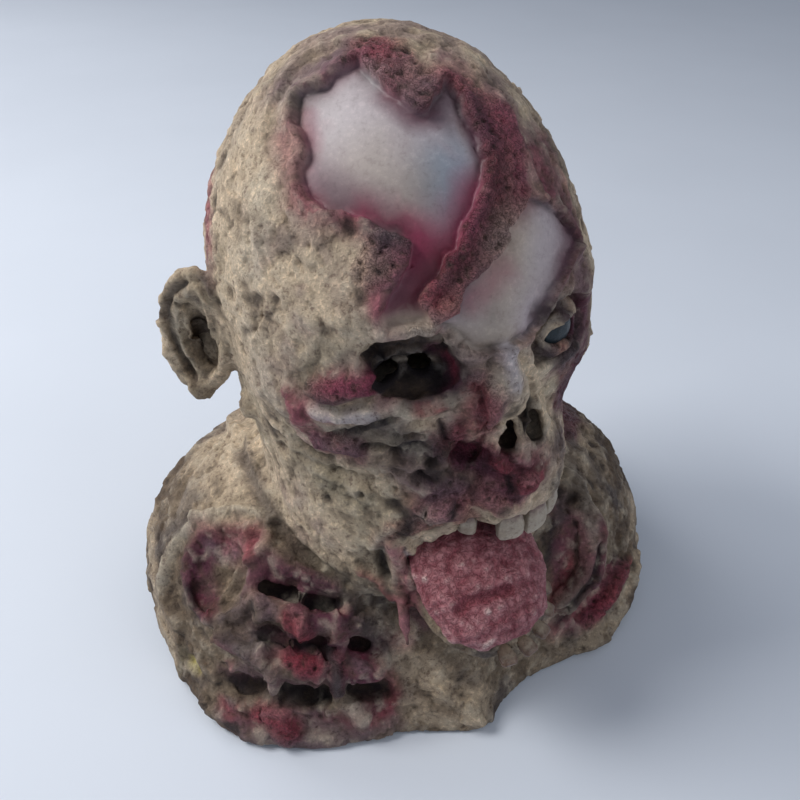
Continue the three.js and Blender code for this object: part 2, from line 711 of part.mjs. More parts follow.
// along is a share of the reach, rise of the thickness, wide of half the width.
const lowerJawSpine = [
  { along: 0, rise: 0.1, wide: 1, thick: 1 },
  { along: 0.4, rise: 0, wide: 1, thick: 1 },
  { along: 0.7, rise: -0.2, wide: 0.88, thick: 0.9 },
  { along: 0.9, rise: -0.45, wide: 0.62, thick: 0.7 },
  { along: 1, rise: -0.6, wide: 0.3, thick: 0.35 },
];
const tongueSpine = [
  { along: -0.22, rise: 0.3, wide: 0.3, thick: 0.35 },
  { along: -0.1, rise: 0.4, wide: 0.66, thick: 0.7 },
  { along: 0.15, rise: 0.45, wide: 0.86, thick: 0.95 },
  { along: 0.45, rise: 0.3, wide: 0.98, thick: 1 },
  { along: 0.75, rise: -0.1, wide: 1, thick: 1 },
  { along: 1, rise: -0.55, wide: 0.8, thick: 0.8 },
  { along: 1.12, rise: -0.75, wide: 0.4, thick: 0.4 },
];
const lowerJaw = (inset = 0) =>
  lofted(
    lowerJawSpine.map((row) => ({
      at: jawRoot.clone().add(vec(0, -lowerJawReach * row.along, lowerJawThickness * row.rise)),
      wide: (lowerJawWidth / 2) * row.wide - inset,
      thick: (lowerJawThickness / 2) * row.thick - inset,
    })),
  );
const tongue = (grow = 0) =>
  lofted(
    tongueSpine.map((row) => ({
      at: jawRoot
        .clone()
        .add(
          vec(
            -tongueWidth * 0.03,
            -tongueReach * row.along,
            lowerJawThickness / 2 + tongueThickness * (0.3 + row.rise),
          ),
        ),
      wide: (tongueWidth / 2) * row.wide + grow,
      thick: (tongueThickness / 2) * row.thick + grow,
    })),
  );
const lowerTeeth = [-4, 14, 32, 50, 68].map((turn, i) => ({ name: `lower_tooth_${i + 1}`, turn }));
function lowerTooth(row, grow = 0) {
  const angle = rad(row.turn);
  const wide = (lowerJawWidth / 2) * 0.9;
  const deep = lowerJawReach * 0.6;
  const root = jawRoot
    .clone()
    .add(
      vec(
        wide * Math.sin(angle),
        -lowerJawReach * 0.36 - deep * Math.cos(angle),
        -lowerJawThickness * (0.25 + 0.2 * Math.cos(angle)),
      ),
    );
  const across = vec(Math.cos(angle), Math.sin(angle), 0);
  const out = vec(Math.sin(angle), -Math.cos(angle), -0.25).normalize();
  return toothBody(root, out, across, lowerToothWidth, toothThickness * 0.6, lowerToothLength, grow);
}

// Torn muscle across the right corner of the mouth, and a shred that hangs from the jaw.
// across and forward are shares of the head's breadth and length, down is a share of the mouth's
// height below the upper jaw, and thick is a share of the muscle's thickness.
const strand = (rows) =>
  tube(
    rows.map(({ across, forward, down, thick }) => ({
      at: vec(headBreadth * across, -headLength * forward, jawFloor - mouthHeight * down),
      half: (muscleThickness / 2) * thick,
    })),
    6,
    1,
    false,
    1,
  );
const muscles = [
  { across: -0.205, forward: 0.36 },
  { across: -0.16, forward: 0.38 },
  { across: -0.115, forward: 0.4 },
].map(({ across, forward }) =>
  strand([
    { across, forward: 0.35, down: -0.2, thick: 0.8 },
    { across, forward, down: 0.5, thick: 1.1 },
    { across, forward: forward + 0.01, down: 1.25, thick: 1 },
    { across, forward: 0.35, down: 1.6, thick: 0.8 },
  ]),
);
const shred = strand([
  { across: -0.19, forward: 0.37, down: 1.2, thick: 1 },
  { across: -0.205, forward: 0.405, down: 1.45, thick: 0.8 },
  { across: -0.205, forward: 0.42, down: 1.92, thick: 0.6 },
  { across: -0.2, forward: 0.425, down: 2.16, thick: 0.4 },
]);

// Ears.
// Each ear is a flat oval that stands off the head, with a rim left round its hollow.
function ear(side) {
  const flare = rad(48);
  const root = onHead(side * 101, 0.885, earLength * 0.27);
  const across = vec(side * Math.sin(flare), Math.cos(flare), 0);
  const outward = vec(side * Math.cos(flare), -Math.sin(flare), 0);
  const frame = { point: root.point, across, rise: vec(0, 0, 1), outward };
  const shell = blob(frame, earLength / 2, earHeight / 2, earThickness / 2, side * 10, 12);
  const lift = (share) => ({
    ...frame,
    point: frame.point.clone().addScaledVector(outward, earThickness * share),
  });
  const hollow = blob(lift(0.42), earLength * 0.36, earHeight * 0.39, earThickness * 0.5, side * 10, 10);
  const fold = blob(lift(0.12), earLength * 0.12, earHeight * 0.2, earThickness * 0.35, -side * 14, 6);
  const bowl = lift(0.3);
  bowl.point.addScaledVector(across, -earLength * 0.1).add(vec(0, 0, -earHeight * 0.08));
  const pit = blob(bowl, earLength * 0.17, earHeight * 0.17, earThickness * 0.6, 0, 6);
  return shell.subtract(hollow).add(fold).subtract(pit);
}

// Chest and shoulders.
// turn and far place a row on the bib. out, wide, tall and deep are shares of the bib's height,
// the last three as half sizes.
const bibDents = [
  { turn: -81, far: 0.66, out: 0.03, wide: 0.21, tall: 0.2, deep: 0.11, spin: 0 }, // torn shoulder
  { turn: -62, far: 0.545, out: 0.02, wide: 0.105, tall: 0.045, deep: 0.08, spin: 0 }, // between ribs
  { turn: -50, far: 0.53, out: 0.02, wide: 0.085, tall: 0.045, deep: 0.08, spin: 0 },
  { turn: -60.5, far: 0.695, out: 0.02, wide: 0.11, tall: 0.045, deep: 0.08, spin: 0 },
  { turn: -48, far: 0.685, out: 0.02, wide: 0.1, tall: 0.045, deep: 0.08, spin: 0 },
  { turn: -37.5, far: 0.67, out: 0.02, wide: 0.06, tall: 0.05, deep: 0.08, spin: 0 },
  { turn: -64, far: 0.875, out: 0.02, wide: 0.14, tall: 0.065, deep: 0.075, spin: 0 },
  { turn: -50, far: 0.86, out: 0.02, wide: 0.12, tall: 0.07, deep: 0.075, spin: 0 },
  { turn: -34, far: 0.83, out: 0.02, wide: 0.1, tall: 0.065, deep: 0.075, spin: 0 },
];
// What lies behind the dents, so that the hollow keeps clear of all of them.
const bibBacking = [
  { turn: -81, far: 0.66, out: 0.03, wide: 0.21, tall: 0.2, deep: 0.11, spin: 0 },
  { turn: -56, far: 0.54, out: 0.01, wide: 0.3, tall: 0.07, deep: 0.1, spin: 0 },
  { turn: -51, far: 0.69, out: 0.01, wide: 0.38, tall: 0.08, deep: 0.11, spin: 0 },
  { turn: -50, far: 0.86, out: 0.02, wide: 0.52, tall: 0.1, deep: 0.13, spin: 0 },
];
const bibLumps = [
  { turn: -56.5, far: 0.615, out: 0, wide: 0.12, tall: 0.06, deep: 0.06, spin: 10 }, // flesh on ribs
  { turn: -52, far: 0.77, out: 0, wide: 0.11, tall: 0.06, deep: 0.06, spin: 0 },
  { turn: -53.5, far: 0.95, out: 0, wide: 0.08, tall: 0.15, deep: 0.045, spin: -10 }, // over the hem
  { turn: -36.5, far: 0.93, out: 0, wide: 0.08, tall: 0.14, deep: 0.045, spin: 12 },
  { turn: 57, far: 0.5, out: -0.02, wide: 0.1, tall: 0.1, deep: 0.08, spin: 0 }, // collar end
];
const bibRow = (row, grow = 0) => {
  const size = (share) => drawn(share * bibHeight, grow);
  const frame = onBib(row.turn, row.far, row.out * bibHeight);
  const sides = sidesFor(8, grow);
  return blob(frame, size(row.wide), size(row.tall), size(row.deep), row.spin, sides);
};
// Ribs and other bars that run over the bib. Each row is a bar through turn and far places.
const bibBars = [
  { half: 0.05, out: 0.005, places: [[-74, 0.44], [-62, 0.44], [-50, 0.43], [-38, 0.44]] },
  { half: 0.055, out: 0.015, places: [[-76, 0.63], [-64, 0.62], [-50, 0.61], [-36, 0.58]] },
  { half: 0.055, out: 0.015, places: [[-73, 0.79], [-60, 0.78], [-46, 0.77], [-29, 0.75]] },
  { half: 0.05, out: 0.01, places: [[-74, 0.97], [-60, 0.975], [-46, 0.975], [-26, 0.95]] },
  { half: 0.04, out: 0.005, places: [[-56, 0.5], [-56, 0.6], [-55.5, 0.7], [-57, 0.85]] },
  { half: 0.04, out: 0.005, places: [[-41, 0.5], [-42, 0.64], [-42, 0.76], [-42.5, 0.92]] },
  { half: 0.07, out: 0.035, places: [[55, 0.5], [52, 0.66], [44, 0.76], [33, 0.78]] }, // collar bone
  { half: 0.05, out: 0.0, places: [[64, 0.95], [54, 0.975], [44, 0.98], [36, 0.96]] }, // muscle
  { half: 0.04, out: 0.005, places: [[-14, 0.78], [-7, 0.86], [-1, 0.93]] }, // fold on the chest
];
const bibBar = (row) =>
  tube(
    row.places.map(([turn, far]) => ({
      at: onBib(turn, far, row.out * bibHeight).point,
      half: row.half * bibHeight,
    })),
    6,
    1,
    false,
    1,
  );
// The torn rim round the hole in the right shoulder.
const shoulderRim = tube(
  [0, 45, 90, 135, 180, 225, 270, 315].map((angle) => {
    const at = onBib(-81, 0.66);
    at.point.addScaledVector(at.across, bibHeight * 0.22 * Math.cos(rad(angle)));
    at.point.addScaledVector(at.rise, bibHeight * 0.22 * Math.sin(rad(angle)));
    const sag = (bibHeight * 0.22) ** 2 / bibWidth;
    return { at: at.point.addScaledVector(at.outward, -sag), half: bibHeight * 0.055 };
  }),
  6,
  1,
  true,
  1,
);
// The hollow below the left collar bone.
const collarHollow = (grow = 0) =>
  tube(
    [[60, 0.84, 0.05], [55, 0.87, 0.075], [46, 0.88, 0.08], [37, 0.87, 0.06]].map(
      ([turn, far, half]) => ({
        at: onBib(turn, far, bibHeight * 0.01).point,
        half: half * bibHeight + grow,
      }),
    ),
    8,
    1,
    false,
    1,
  );

// Assembly of the skin.
const outerTurns = turnsRound(26, 10);
const skull = headBody(outerTurns, fineRows, scalpThickness);
const scalp = headBody(outerTurns, fineRows, 0)
  .subtract(coneThrough(foreheadWindow))
  .subtract(coneThrough(browWindow));
const lumps = [
  ...headLumps.map((row) => headRow(row)),
  noseBridge,
  noseBase,
  upperJaw(),
  lowerJaw(),
  ear(-1),
  ear(1),
  bibBody(34, bibRings, 0, 0),
  ...bibLumps.map((row) => bibRow(row)),
  ...bibBars.map(bibBar),
  shoulderRim,
];
const dents = (grow, chest) => [
  ...headDents.map((row) => headRow(row, grow)),
  ...sockets.map((row) => socket(row, grow)),
  ...nostrilTurns.map((turn) => nostril(turn, grow)),
  mouth(grow),
  ...chest.map((row) => bibRow(row, grow)),
  collarHollow(grow),
];
const inner = [lids, driedFlesh, ...muscles, shred]; // what stands inside a dent

const hollow = joined([
  headBody(turnsRound(10, 8), coarseRows, scalpThickness + wall),
  bibBody(22, coarseBibRings, wall, belowHem + hemArch),
]).subtract(joined([...dents(wall, bibBacking), eye(wall), tongue(wall)]));
const cavity = hollow.decompose().sort((a, b) => b.volume() - a.volume())[0];

const belowFloor = solidOf(
  new THREE.BoxGeometry(bibWidth * 1.5, bibLength * 1.5, bibHeight).translate(0, 0, -bibHeight / 2),
);

// The pieces that are set into the skin, each with the seat that it needs.
const pieces = [
  { name: "left_eye", build: eye, color: 0x6f8488, roughness: 0.3 },
  { name: "tongue", build: tongue, color: 0x9a4a50, roughness: 0.6 },
  ...upperTeeth.map((row) => ({
    name: row.name,
    build: (grow) => upperTooth(row, grow),
    color: 0xcfc3ac,
    roughness: 0.4,
  })),
  ...lowerTeeth.map((row) => ({
    name: row.name,
    build: (grow) => lowerTooth(row, grow),
    color: 0xa3937c,
    roughness: 0.45,
  })),
];

const cast = skull
  .add(scalp)
  .add(joined(lumps))
  .subtract(joined(dents(0, bibDents)))
  .add(joined(inner))
  .subtract(cavity)
  .subtract(joined([...peeps, ...pieces.map((piece) => piece.build(seatClearance)), belowFloor]));
const skin = cast.decompose().sort((a, b) => b.volume() - a.volume())[0];

// The finished part: its origin is under the middle of its bounding box.
const mask = new THREE.Group();
const placed = new THREE.Group();
mask.add(placed);

function addPiece(name, body, color, roughness) {
  const material = new THREE.MeshStandardMaterial({ color, roughness, metalness: 0 });
  const mesh = new THREE.Mesh(geometryOf(body), material);
  mesh.name = name;
  placed.add(mesh);
}

addPiece("mask_skin", skin, 0xb5a582, 0.75);
for (const { name, build, color, roughness } of pieces) {
  addPiece(name, build(0), color, roughness);
}
const box = new THREE.Box3().setFromObject(placed);
const middle = box.getCenter(new THREE.Vector3());
placed.position.set(-middle.x, -middle.y, -box.min.z);

export default mask;
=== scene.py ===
# %% [markdown]
# # A zombie mask, dressed in cells
# The real object is a full-head mask cast in latex, with a shoulder bib, painted with an airbrush.
# The solids come in as a fixed frame. This first cell loads them.

# %% Load the frame
import json
import math

import bpy
import numpy as np
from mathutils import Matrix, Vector
from mathutils.bvhtree import BVHTree

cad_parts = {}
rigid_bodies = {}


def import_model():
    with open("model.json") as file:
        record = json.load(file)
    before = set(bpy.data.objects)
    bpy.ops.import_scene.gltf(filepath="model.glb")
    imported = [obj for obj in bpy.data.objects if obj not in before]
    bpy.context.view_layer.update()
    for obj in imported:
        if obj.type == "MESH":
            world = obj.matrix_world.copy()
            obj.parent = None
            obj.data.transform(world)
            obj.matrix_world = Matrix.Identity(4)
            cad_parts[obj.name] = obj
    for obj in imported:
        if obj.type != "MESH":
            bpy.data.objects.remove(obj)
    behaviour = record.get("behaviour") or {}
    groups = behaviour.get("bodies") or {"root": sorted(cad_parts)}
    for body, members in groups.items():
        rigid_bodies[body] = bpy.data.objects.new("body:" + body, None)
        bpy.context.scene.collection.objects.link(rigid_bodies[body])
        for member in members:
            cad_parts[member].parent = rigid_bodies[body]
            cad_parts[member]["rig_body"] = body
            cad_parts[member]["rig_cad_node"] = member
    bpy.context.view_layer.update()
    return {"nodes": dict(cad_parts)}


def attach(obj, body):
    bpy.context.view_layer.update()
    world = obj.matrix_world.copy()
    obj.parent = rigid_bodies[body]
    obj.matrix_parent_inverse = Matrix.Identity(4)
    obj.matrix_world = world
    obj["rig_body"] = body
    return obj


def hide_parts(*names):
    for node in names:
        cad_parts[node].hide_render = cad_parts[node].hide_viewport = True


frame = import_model()
nodes = frame["nodes"]
MM = 0.001

# %% [markdown]
# The camera comes first, because places on the mask are read from the photograph: a pixel there is
# a ray here, and where that ray meets the skin is the place. The lens and the place were worked
# out from the outline of the mask. The head's upright axis stands a little off the row's origin.

# %% Camera
HEAD_AXIS = Vector((-12.57, -3.21, 0)) * MM
CAMERA_PLACE = HEAD_AXIS + Vector((-185.4, -395.7, 489.0)) * MM
CAMERA_TURN = -25.5
CAMERA_RISE = 36.0
PHOTO_SIZE = 800
LENS = 37.35
SENSOR = 36.0

camera_data = bpy.data.cameras.new("camera")
camera_data.lens = LENS
camera_data.sensor_width = SENSOR
camera = bpy.data.objects.new("camera", camera_data)
bpy.context.scene.collection.objects.link(camera)
camera.location = CAMERA_PLACE
camera.rotation_euler = (math.radians(90 - CAMERA_RISE), 0, math.radians(CAMERA_TURN))
bpy.context.scene.camera = camera
bpy.context.view_layer.update()


def ray_through(u, v):
    """The direction from the camera through a pixel of the photograph."""
    focus = LENS / SENSOR * PHOTO_SIZE
    local = Vector(((u - PHOTO_SIZE / 2) / focus, (PHOTO_SIZE / 2 - v) / focus, -1))
    return (camera.matrix_world.to_3x3() @ local).normalized()


print("camera at", tuple(round(v, 3) for v in camera.location))

# %% [markdown]
# Small tools for all pieces: selecting one object, applying a modifier, and reading and writing a
# mesh's points as an array. Working on arrays is how hundreds of thousands of points are moved in
# a second or two.


# %% Tools
def only(piece):
    """Deselects everything, then selects this piece and makes it the active one."""
    bpy.ops.object.select_all(action="DESELECT")
    piece.hide_set(False)
    piece.select_set(True)
    bpy.context.view_layer.objects.active = piece


def add_modifier(piece, kind, **settings):
    """Adds a modifier with these settings and applies it."""
    only(piece)
    modifier = piece.modifiers.new(kind.lower(), kind)
    for key, value in settings.items():
        setattr(modifier, key, value)
    bpy.ops.object.modifier_apply(modifier=modifier.name)


def copy_of(node, name):
    """A CAD node's copy as a new piece, with its loose triangles merged."""
    piece = nodes[node].copy()
    piece.data = nodes[node].data.copy()
    piece.name = name
    piece.data.name = name
    piece.parent = None
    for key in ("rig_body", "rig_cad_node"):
        if key in piece:
            del piece[key]
    bpy.context.scene.collection.objects.link(piece)
    piece.data.materials.clear()
    only(piece)
    bpy.ops.object.mode_set(mode="EDIT")
    bpy.ops.mesh.select_all(action="SELECT")
    bpy.ops.mesh.remove_doubles(threshold=0.01 * MM)
    bpy.ops.object.mode_set(mode="OBJECT")
    return piece


def points_of(piece):
    places = np.zeros(len(piece.data.vertices) * 3, np.float32)
    piece.data.vertices.foreach_get("co", places)
    return places.reshape(-1, 3)


def normals_of(piece):
    ways = np.zeros(len(piece.data.vertices) * 3, np.float32)
    piece.data.vertices.foreach_get("normal", ways)
    return ways.reshape(-1, 3)


def set_points(piece, places):
    piece.data.vertices.foreach_set("co", places.astype(np.float32).ravel())
    piece.data.update()


def keep_value(piece, name, values):
    """Keeps one number a point, for the material to read."""
    attribute = piece.data.attributes.new(name, "FLOAT", "POINT")
    attribute.data.foreach_set("value", values.astype(np.float32))


def keep_colour(piece, name, colours):
    attribute = piece.data.color_attributes.new(name, "FLOAT_COLOR", "POINT")
    with_alpha = np.ones((len(colours), 4), np.float32)
    with_alpha[:, :3] = colours
    attribute.data.foreach_set("color", with_alpha.ravel())


def linear(colour):
    """A colour given as 0 to 255 values, as the shader wants it."""
    part = np.array(colour, float) / 255
    return np.where(part <= 0.04045, part / 12.92, ((part + 0.055) / 1.055) ** 2.4)


def smooth_step(low, high, value):
    t = np.clip((value - low) / (high - low), 0, 1)
    return t * t * (3 - 2 * t)


# %% [markdown]
# Skin is never even, so the points are moved by noise. Two kinds do all of it: soft clouds for
# swellings and wrinkles, and cells for grains and pits. Both are worked out for all points at
# once, from a fixed scramble of the grid's corners, so each run gives the same skin.


# %% Noise
def scramble(cells, seed):
    """A fixed number from 0 to 1 for each whole-number corner."""
    grid = cells.astype(np.int64).astype(np.uint32)
    mixed = grid[:, 0] * np.uint32(374761393) + grid[:, 1] * np.uint32(668265263)
    mixed += grid[:, 2] * np.uint32(2147483647) + np.uint32(seed * 1274126177 % 4294967295)
    mixed = (mixed ^ (mixed >> np.uint32(13))) * np.uint32(1274126177)
    mixed = (mixed ^ (mixed >> np.uint32(16))) * np.uint32(2246822519)
    return ((mixed ^ (mixed >> np.uint32(15))) & np.uint32(0xFFFFFF)).astype(np.float32) / 0xFFFFFF


def soft(places, size, seed):
    """Soft noise from 0 to 1, with swellings about size apart."""
    scaled = places / size
    corner = np.floor(scaled)
    part = scaled - corner
    part = part * part * (3 - 2 * part)
    total = np.zeros(len(places), np.float32)
    for dx in (0, 1):
        for dy in (0, 1):
            for dz in (0, 1):
                share = np.abs(1 - dx - part[:, 0]) * np.abs(1 - dy - part[:, 1])
                share = share * np.abs(1 - dz - part[:, 2])
                total += share * scramble(corner + (dx, dy, dz), seed)
    return total


def clouds(places, size, octaves, seed):
    """Soft noise with finer noise on it, about from 0 to 1."""
    total, weight, full = 0, 1.0, 0.0
    for octave in range(octaves):
        total = total + weight * soft(places, size / 2**octave, seed + octave)
        full += weight
        weight *= 0.55
    return total / full


def creases(places, size, octaves, seed):
    """Sharp folds: 1 along thin winding lines and 0 between them."""
    total, weight, full = 0, 1.0, 0.0
    for octave in range(octaves):
        fold = 1 - np.abs(2 * soft(places, size / 2**octave, seed + octave) - 1)
        total = total + weight * fold**2
        full += weight
        weight *= 0.5
    return total / full


def cells(places, size, seed):
    """The distance to the nearest of points strewn about size apart, as a share of size."""
    scaled = places / size
    corner = np.floor(scaled)
    nearest = np.full(len(places), 9, np.float32)
    for dx in (-1, 0, 1):
        for dy in (-1, 0, 1):
            for dz in (-1, 0, 1):
                cell = corner + (dx, dy, dz)
                away = np.zeros(len(places), np.float32)
                for axis in range(3):
                    strewn = cell[:, axis] + scramble(cell, seed + 7 * axis)
                    away += (scaled[:, axis] - strewn) ** 2
                nearest = np.minimum(nearest, away)
    return np.sqrt(nearest)


# %% [markdown]
# The skin starts as a copy of the cast solid. A voxel remesh gives it even, fine faces, like fresh
# clay, and two smoothings take the flat facets out: a long one over the broad forms, and a short
# one over the eyes, the nose, the jaws, the ears and the ribs, which keeps them.

# %% Skin: clay
VOXEL = 1.5 * MM
FEATURES = [  # centre in mm from the head's axis, and reach
    ((-38, -90, 262), 44),
    ((42, -88, 262), 40),
    ((12, -115, 215), 50),
    ((15, -105, 165), 62),
    ((-30, -105, 120), 50),
    ((10, -120, 105), 60),
    ((-118, 10, 240), 52),
    ((122, 10, 240), 52),
    ((-110, -70, 70), 75),
    ((110, -80, 50), 60),
]
skin = copy_of("mask_skin", "latex_skin")
add_modifier(skin, "REMESH", mode="VOXEL", voxel_size=VOXEL)
places = points_of(skin)
fine = np.zeros(len(places), np.float32)
for centre, reach in FEATURES:
    away = np.linalg.norm(places - np.array(HEAD_AXIS) - np.array(centre) * MM, axis=1)
    fine = np.maximum(fine, smooth_step(reach * MM, 0.7 * reach * MM, away))
for name, share in (("broad", 1 - fine), ("every", np.ones(len(places)))):
    group = skin.vertex_groups.new(name=name)
    for level in range(1, 11):
        chosen = np.nonzero(np.round(share * 10) == level)[0]
        group.add(chosen.tolist(), level / 10, "REPLACE")
rounds = (1.5 * MM / VOXEL) ** 2
add_modifier(skin, "SMOOTH", factor=0.5, iterations=int(110 * rounds), vertex_group="broad")
add_modifier(skin, "SMOOTH", factor=0.5, iterations=max(2, int(9 * rounds)), vertex_group="every")
print("skin points", len(skin.data.vertices))

# %% [markdown]
# Only the outside is sculpted and painted. A point is on the inside if nothing stands between it
# and the middle of the hollow. The same search tree then finds where a pixel of the photograph
# lies on the skin: `place` takes one pixel, and `trace` follows a line of them over the surface.

# %% Skin: outside, and places from the photograph
places = points_of(skin)
ways = normals_of(skin)
tree = BVHTree.FromPolygons(
    [tuple(p) for p in places.tolist()],
    [tuple(f.vertices) for f in skin.data.polygons],
)
TOP_OF_HOLLOW = 330 * MM
LOW_OF_HOLLOW = 20 * MM
outside = np.zeros(len(places), bool)
for index, (spot, way) in enumerate(zip(places.tolist(), ways.tolist())):
    start = Vector(spot) + Vector(way) * MM
    height = min(max(start.z, LOW_OF_HOLLOW), TOP_OF_HOLLOW)
    target = Vector((HEAD_AXIS.x, HEAD_AXIS.y, height))
    toward = target - start
    hit = tree.ray_cast(start, toward.normalized(), toward.length)
    outside[index] = hit[0] is not None
print("outside", int(outside.sum()), "of", len(outside))


def place(u, v):
    """Where a pixel lies on the skin. A pixel just off it is moved towards the middle."""
    for step in range(40):
        share = step / 60
        direction = ray_through(u + (400 - u) * share, v + (400 - v) * share)
        hit = tree.ray_cast(camera.location, direction)
        if hit[0] is not None:
            return np.array(hit[0])
    raise ValueError(f"pixel {u}, {v} is off the mask")


def trace(pixels, step=5):
    """A line of pixels laid over the skin, with a point every few pixels."""
    line = [place(*pixels[0])]
    for (u0, v0), (u1, v1) in zip(pixels[:-1], pixels[1:]):
        count = max(1, round(math.hypot(u1 - u0, v1 - v0) / step))
        for i in range(1, count + 1):
            line.append(place(u0 + (u1 - u0) * i / count, v0 + (v1 - v0) * i / count))
    return np.array(line)


# %% [markdown]
# A stroke is a line of pixels with a width. `near_line` finds the points of the outside near it,
# how far off they are and on which side. Raised strokes are lumps and strands, sunk ones are
# grooves and pits, and the same strokes carry the paint later.

# %% Strokes
mine = np.nonzero(outside)[0]
base = places[mine]
normal = ways[mine]
lift = np.zeros(len(mine), np.float32)
LONGEST_LEAP = 12 * MM  # a line that leaps further, as from a rim to a floor, is broken there


def near_line(line, reach):
    """Indices of the outside points within reach, their distance, and their side of the line."""
    low, high = line.min(0) - reach, line.max(0) + reach
    close = np.nonzero(((base > low) & (base < high)).all(1))[0]
    spots = base[close]
    best = np.full(len(close), 1e9)
    side = np.zeros(len(close))
    for start, end in zip(line[:-1], line[1:]):
        if np.linalg.norm(end - start) > LONGEST_LEAP:
            start = end
        along = end - start
        share = np.clip((spots - start) @ along / max(along @ along, 1e-12), 0, 1)
        off = spots - (start + share[:, None] * along)
        away = np.linalg.norm(off, axis=1)
        nearer = away < best
        best[nearer] = away[nearer]
        turned = np.cross(along, normal[close[nearer]])
        side[nearer] = np.sign((turned * off[nearer]).sum(1))
    return close, best, side


rough = clouds(base, 9 * MM, 3, 11)
fine_rough = clouds(base, 4 * MM, 2, 17)


def sculpt(pixels, width, height):
    """Raises the skin by height mm along a line of pixels, over width mm to each side."""
    close, away, _ = near_line(trace(pixels), 1.6 * width * MM)
    ragged = away / (width * MM) + 0.5 * (rough[close] - 0.5) + 0.3 * (fine_rough[close] - 0.5)
    lift[close] += height * MM * smooth_step(1.15, 0.15, ragged)


def tear(pixels, height, fade):
    """A torn edge: the skin stands height mm higher on the line's right, and fades over fade mm."""
    close, away, side = near_line(trace(pixels), 2.2 * fade * MM)
    signed = away * side / MM + 2.4 * (rough[close] - 0.5) + 1.8 * (fine_rough[close] - 0.5)
    step = smooth_step(-0.4, 1.2, signed) * np.exp(-np.maximum(signed, 0) / fade)
    groove = np.exp(-(((signed + 1.2) / 1.5) ** 2))
    lift[close] += (height * step - 0.4 * height * groove) * MM


# %% [markdown]
# The torn scalp comes next. On the real mask it is a second layer with ragged edges, over smooth
# bare bone. Two outlines are read from the photograph and laid out flat round the middle of the
# forehead, where a point's distance from an outline is easily worked out. The step is then made
# sharp, with noise on the distance so that the edge is ragged.

# %% Torn scalp
SKULL_PLATE = [
    (299, 93), (296, 108), (297, 123), (303, 132), (308, 146), (306, 159), (300, 169), (301, 184),
    (309, 195), (318, 201), (328, 209), (341, 210), (354, 214), (369, 220), (385, 228), (400, 232),
    (409, 240), (412, 251), (407, 268), (398, 289), (388, 306), (382, 314), (381, 321), (386, 328),
    (402, 325), (418, 321), (430, 322), (423, 310), (420, 299), (428, 285), (441, 272), (445, 257),
    (457, 250), (459, 238), (464, 223), (474, 205), (480, 187), (482, 174), (485, 159), (480, 143),
    (472, 128), (464, 113), (459, 100), (451, 87), (444, 84), (436, 97), (428, 110), (418, 113),
    (408, 106), (398, 97), (385, 90), (374, 79), (364, 69), (357, 61), (346, 68), (333, 74),
    (326, 84), (313, 87),
]
BROW_PLATE = [
    (434, 325), (446, 318), (458, 310), (462, 297), (468, 284), (480, 273), (491, 263), (501, 253),
    (510, 240), (505, 229), (520, 212), (526, 197), (546, 203), (556, 213), (567, 226), (573, 240),
    (566, 257), (557, 278), (547, 295), (536, 316), (531, 334), (512, 344), (489, 350), (473, 350),
    (464, 342), (451, 331),
]
MIDDLE = np.array(HEAD_AXIS) + np.array((2, 0, 260)) * MM
BONE_RADIUS = 112 * MM
ahead = place(440, 200) - MIDDLE
ahead /= np.linalg.norm(ahead)
across = np.cross((0, 0, 1), ahead)
across /= np.linalg.norm(across)
upward = np.cross(ahead, across)


def flat_places(spots):
    """Points laid out flat round the middle of the forehead, in metres along the bone."""
    away = (spots - MIDDLE) / np.linalg.norm(spots - MIDDLE, axis=1)[:, None]
    angle = np.arccos(np.clip(away @ ahead, -1, 1))
    u, v = away @ across, away @ upward
    length = np.maximum(np.hypot(u, v), 1e-9)
    return np.stack((u, v), 1) * (BONE_RADIUS * angle / length)[:, None]


def from_ring(flat, ring):
    """The distance of flat points from a closed ring, above 0 outside it and below 0 inside."""
    best = np.full(len(flat), 1e9)
    inside = np.zeros(len(flat), bool)
    for (x0, y0), (x1, y1) in zip(ring, np.roll(ring, -1, 0)):
        dx, dy = x1 - x0, y1 - y0
        square = max(dx * dx + dy * dy, 1e-12)
        share = np.clip(((flat[:, 0] - x0) * dx + (flat[:, 1] - y0) * dy) / square, 0, 1)
        away = np.hypot(flat[:, 0] - x0 - share * dx, flat[:, 1] - y0 - share * dy)
        best = np.minimum(best, away)
        crosses = (y0 > flat[:, 1]) != (y1 > flat[:, 1])
        if abs(dy) > 1e-12:
            inside ^= crosses & (flat[:, 0] < x0 + (flat[:, 1] - y0) * dx / dy)
    return np.where(inside, -best, best)


def from_outline(spots, pixels):
    """The distance over the skull from an outline in the photograph."""
    return from_ring(flat_places(spots), flat_places(trace(pixels + pixels[:1], 3)))


def in_photo(spots):
    """The pixel of the photograph that each point is seen at."""
    focus = LENS / SENSOR * PHOTO_SIZE
    local = (spots - np.array(camera.location)) @ np.array(camera.matrix_world.to_3x3())
    half = PHOTO_SIZE / 2
    return np.stack((half - focus * local[:, 0] / local[:, 2],
                     half + focus * local[:, 1] / local[:, 2]), 1)


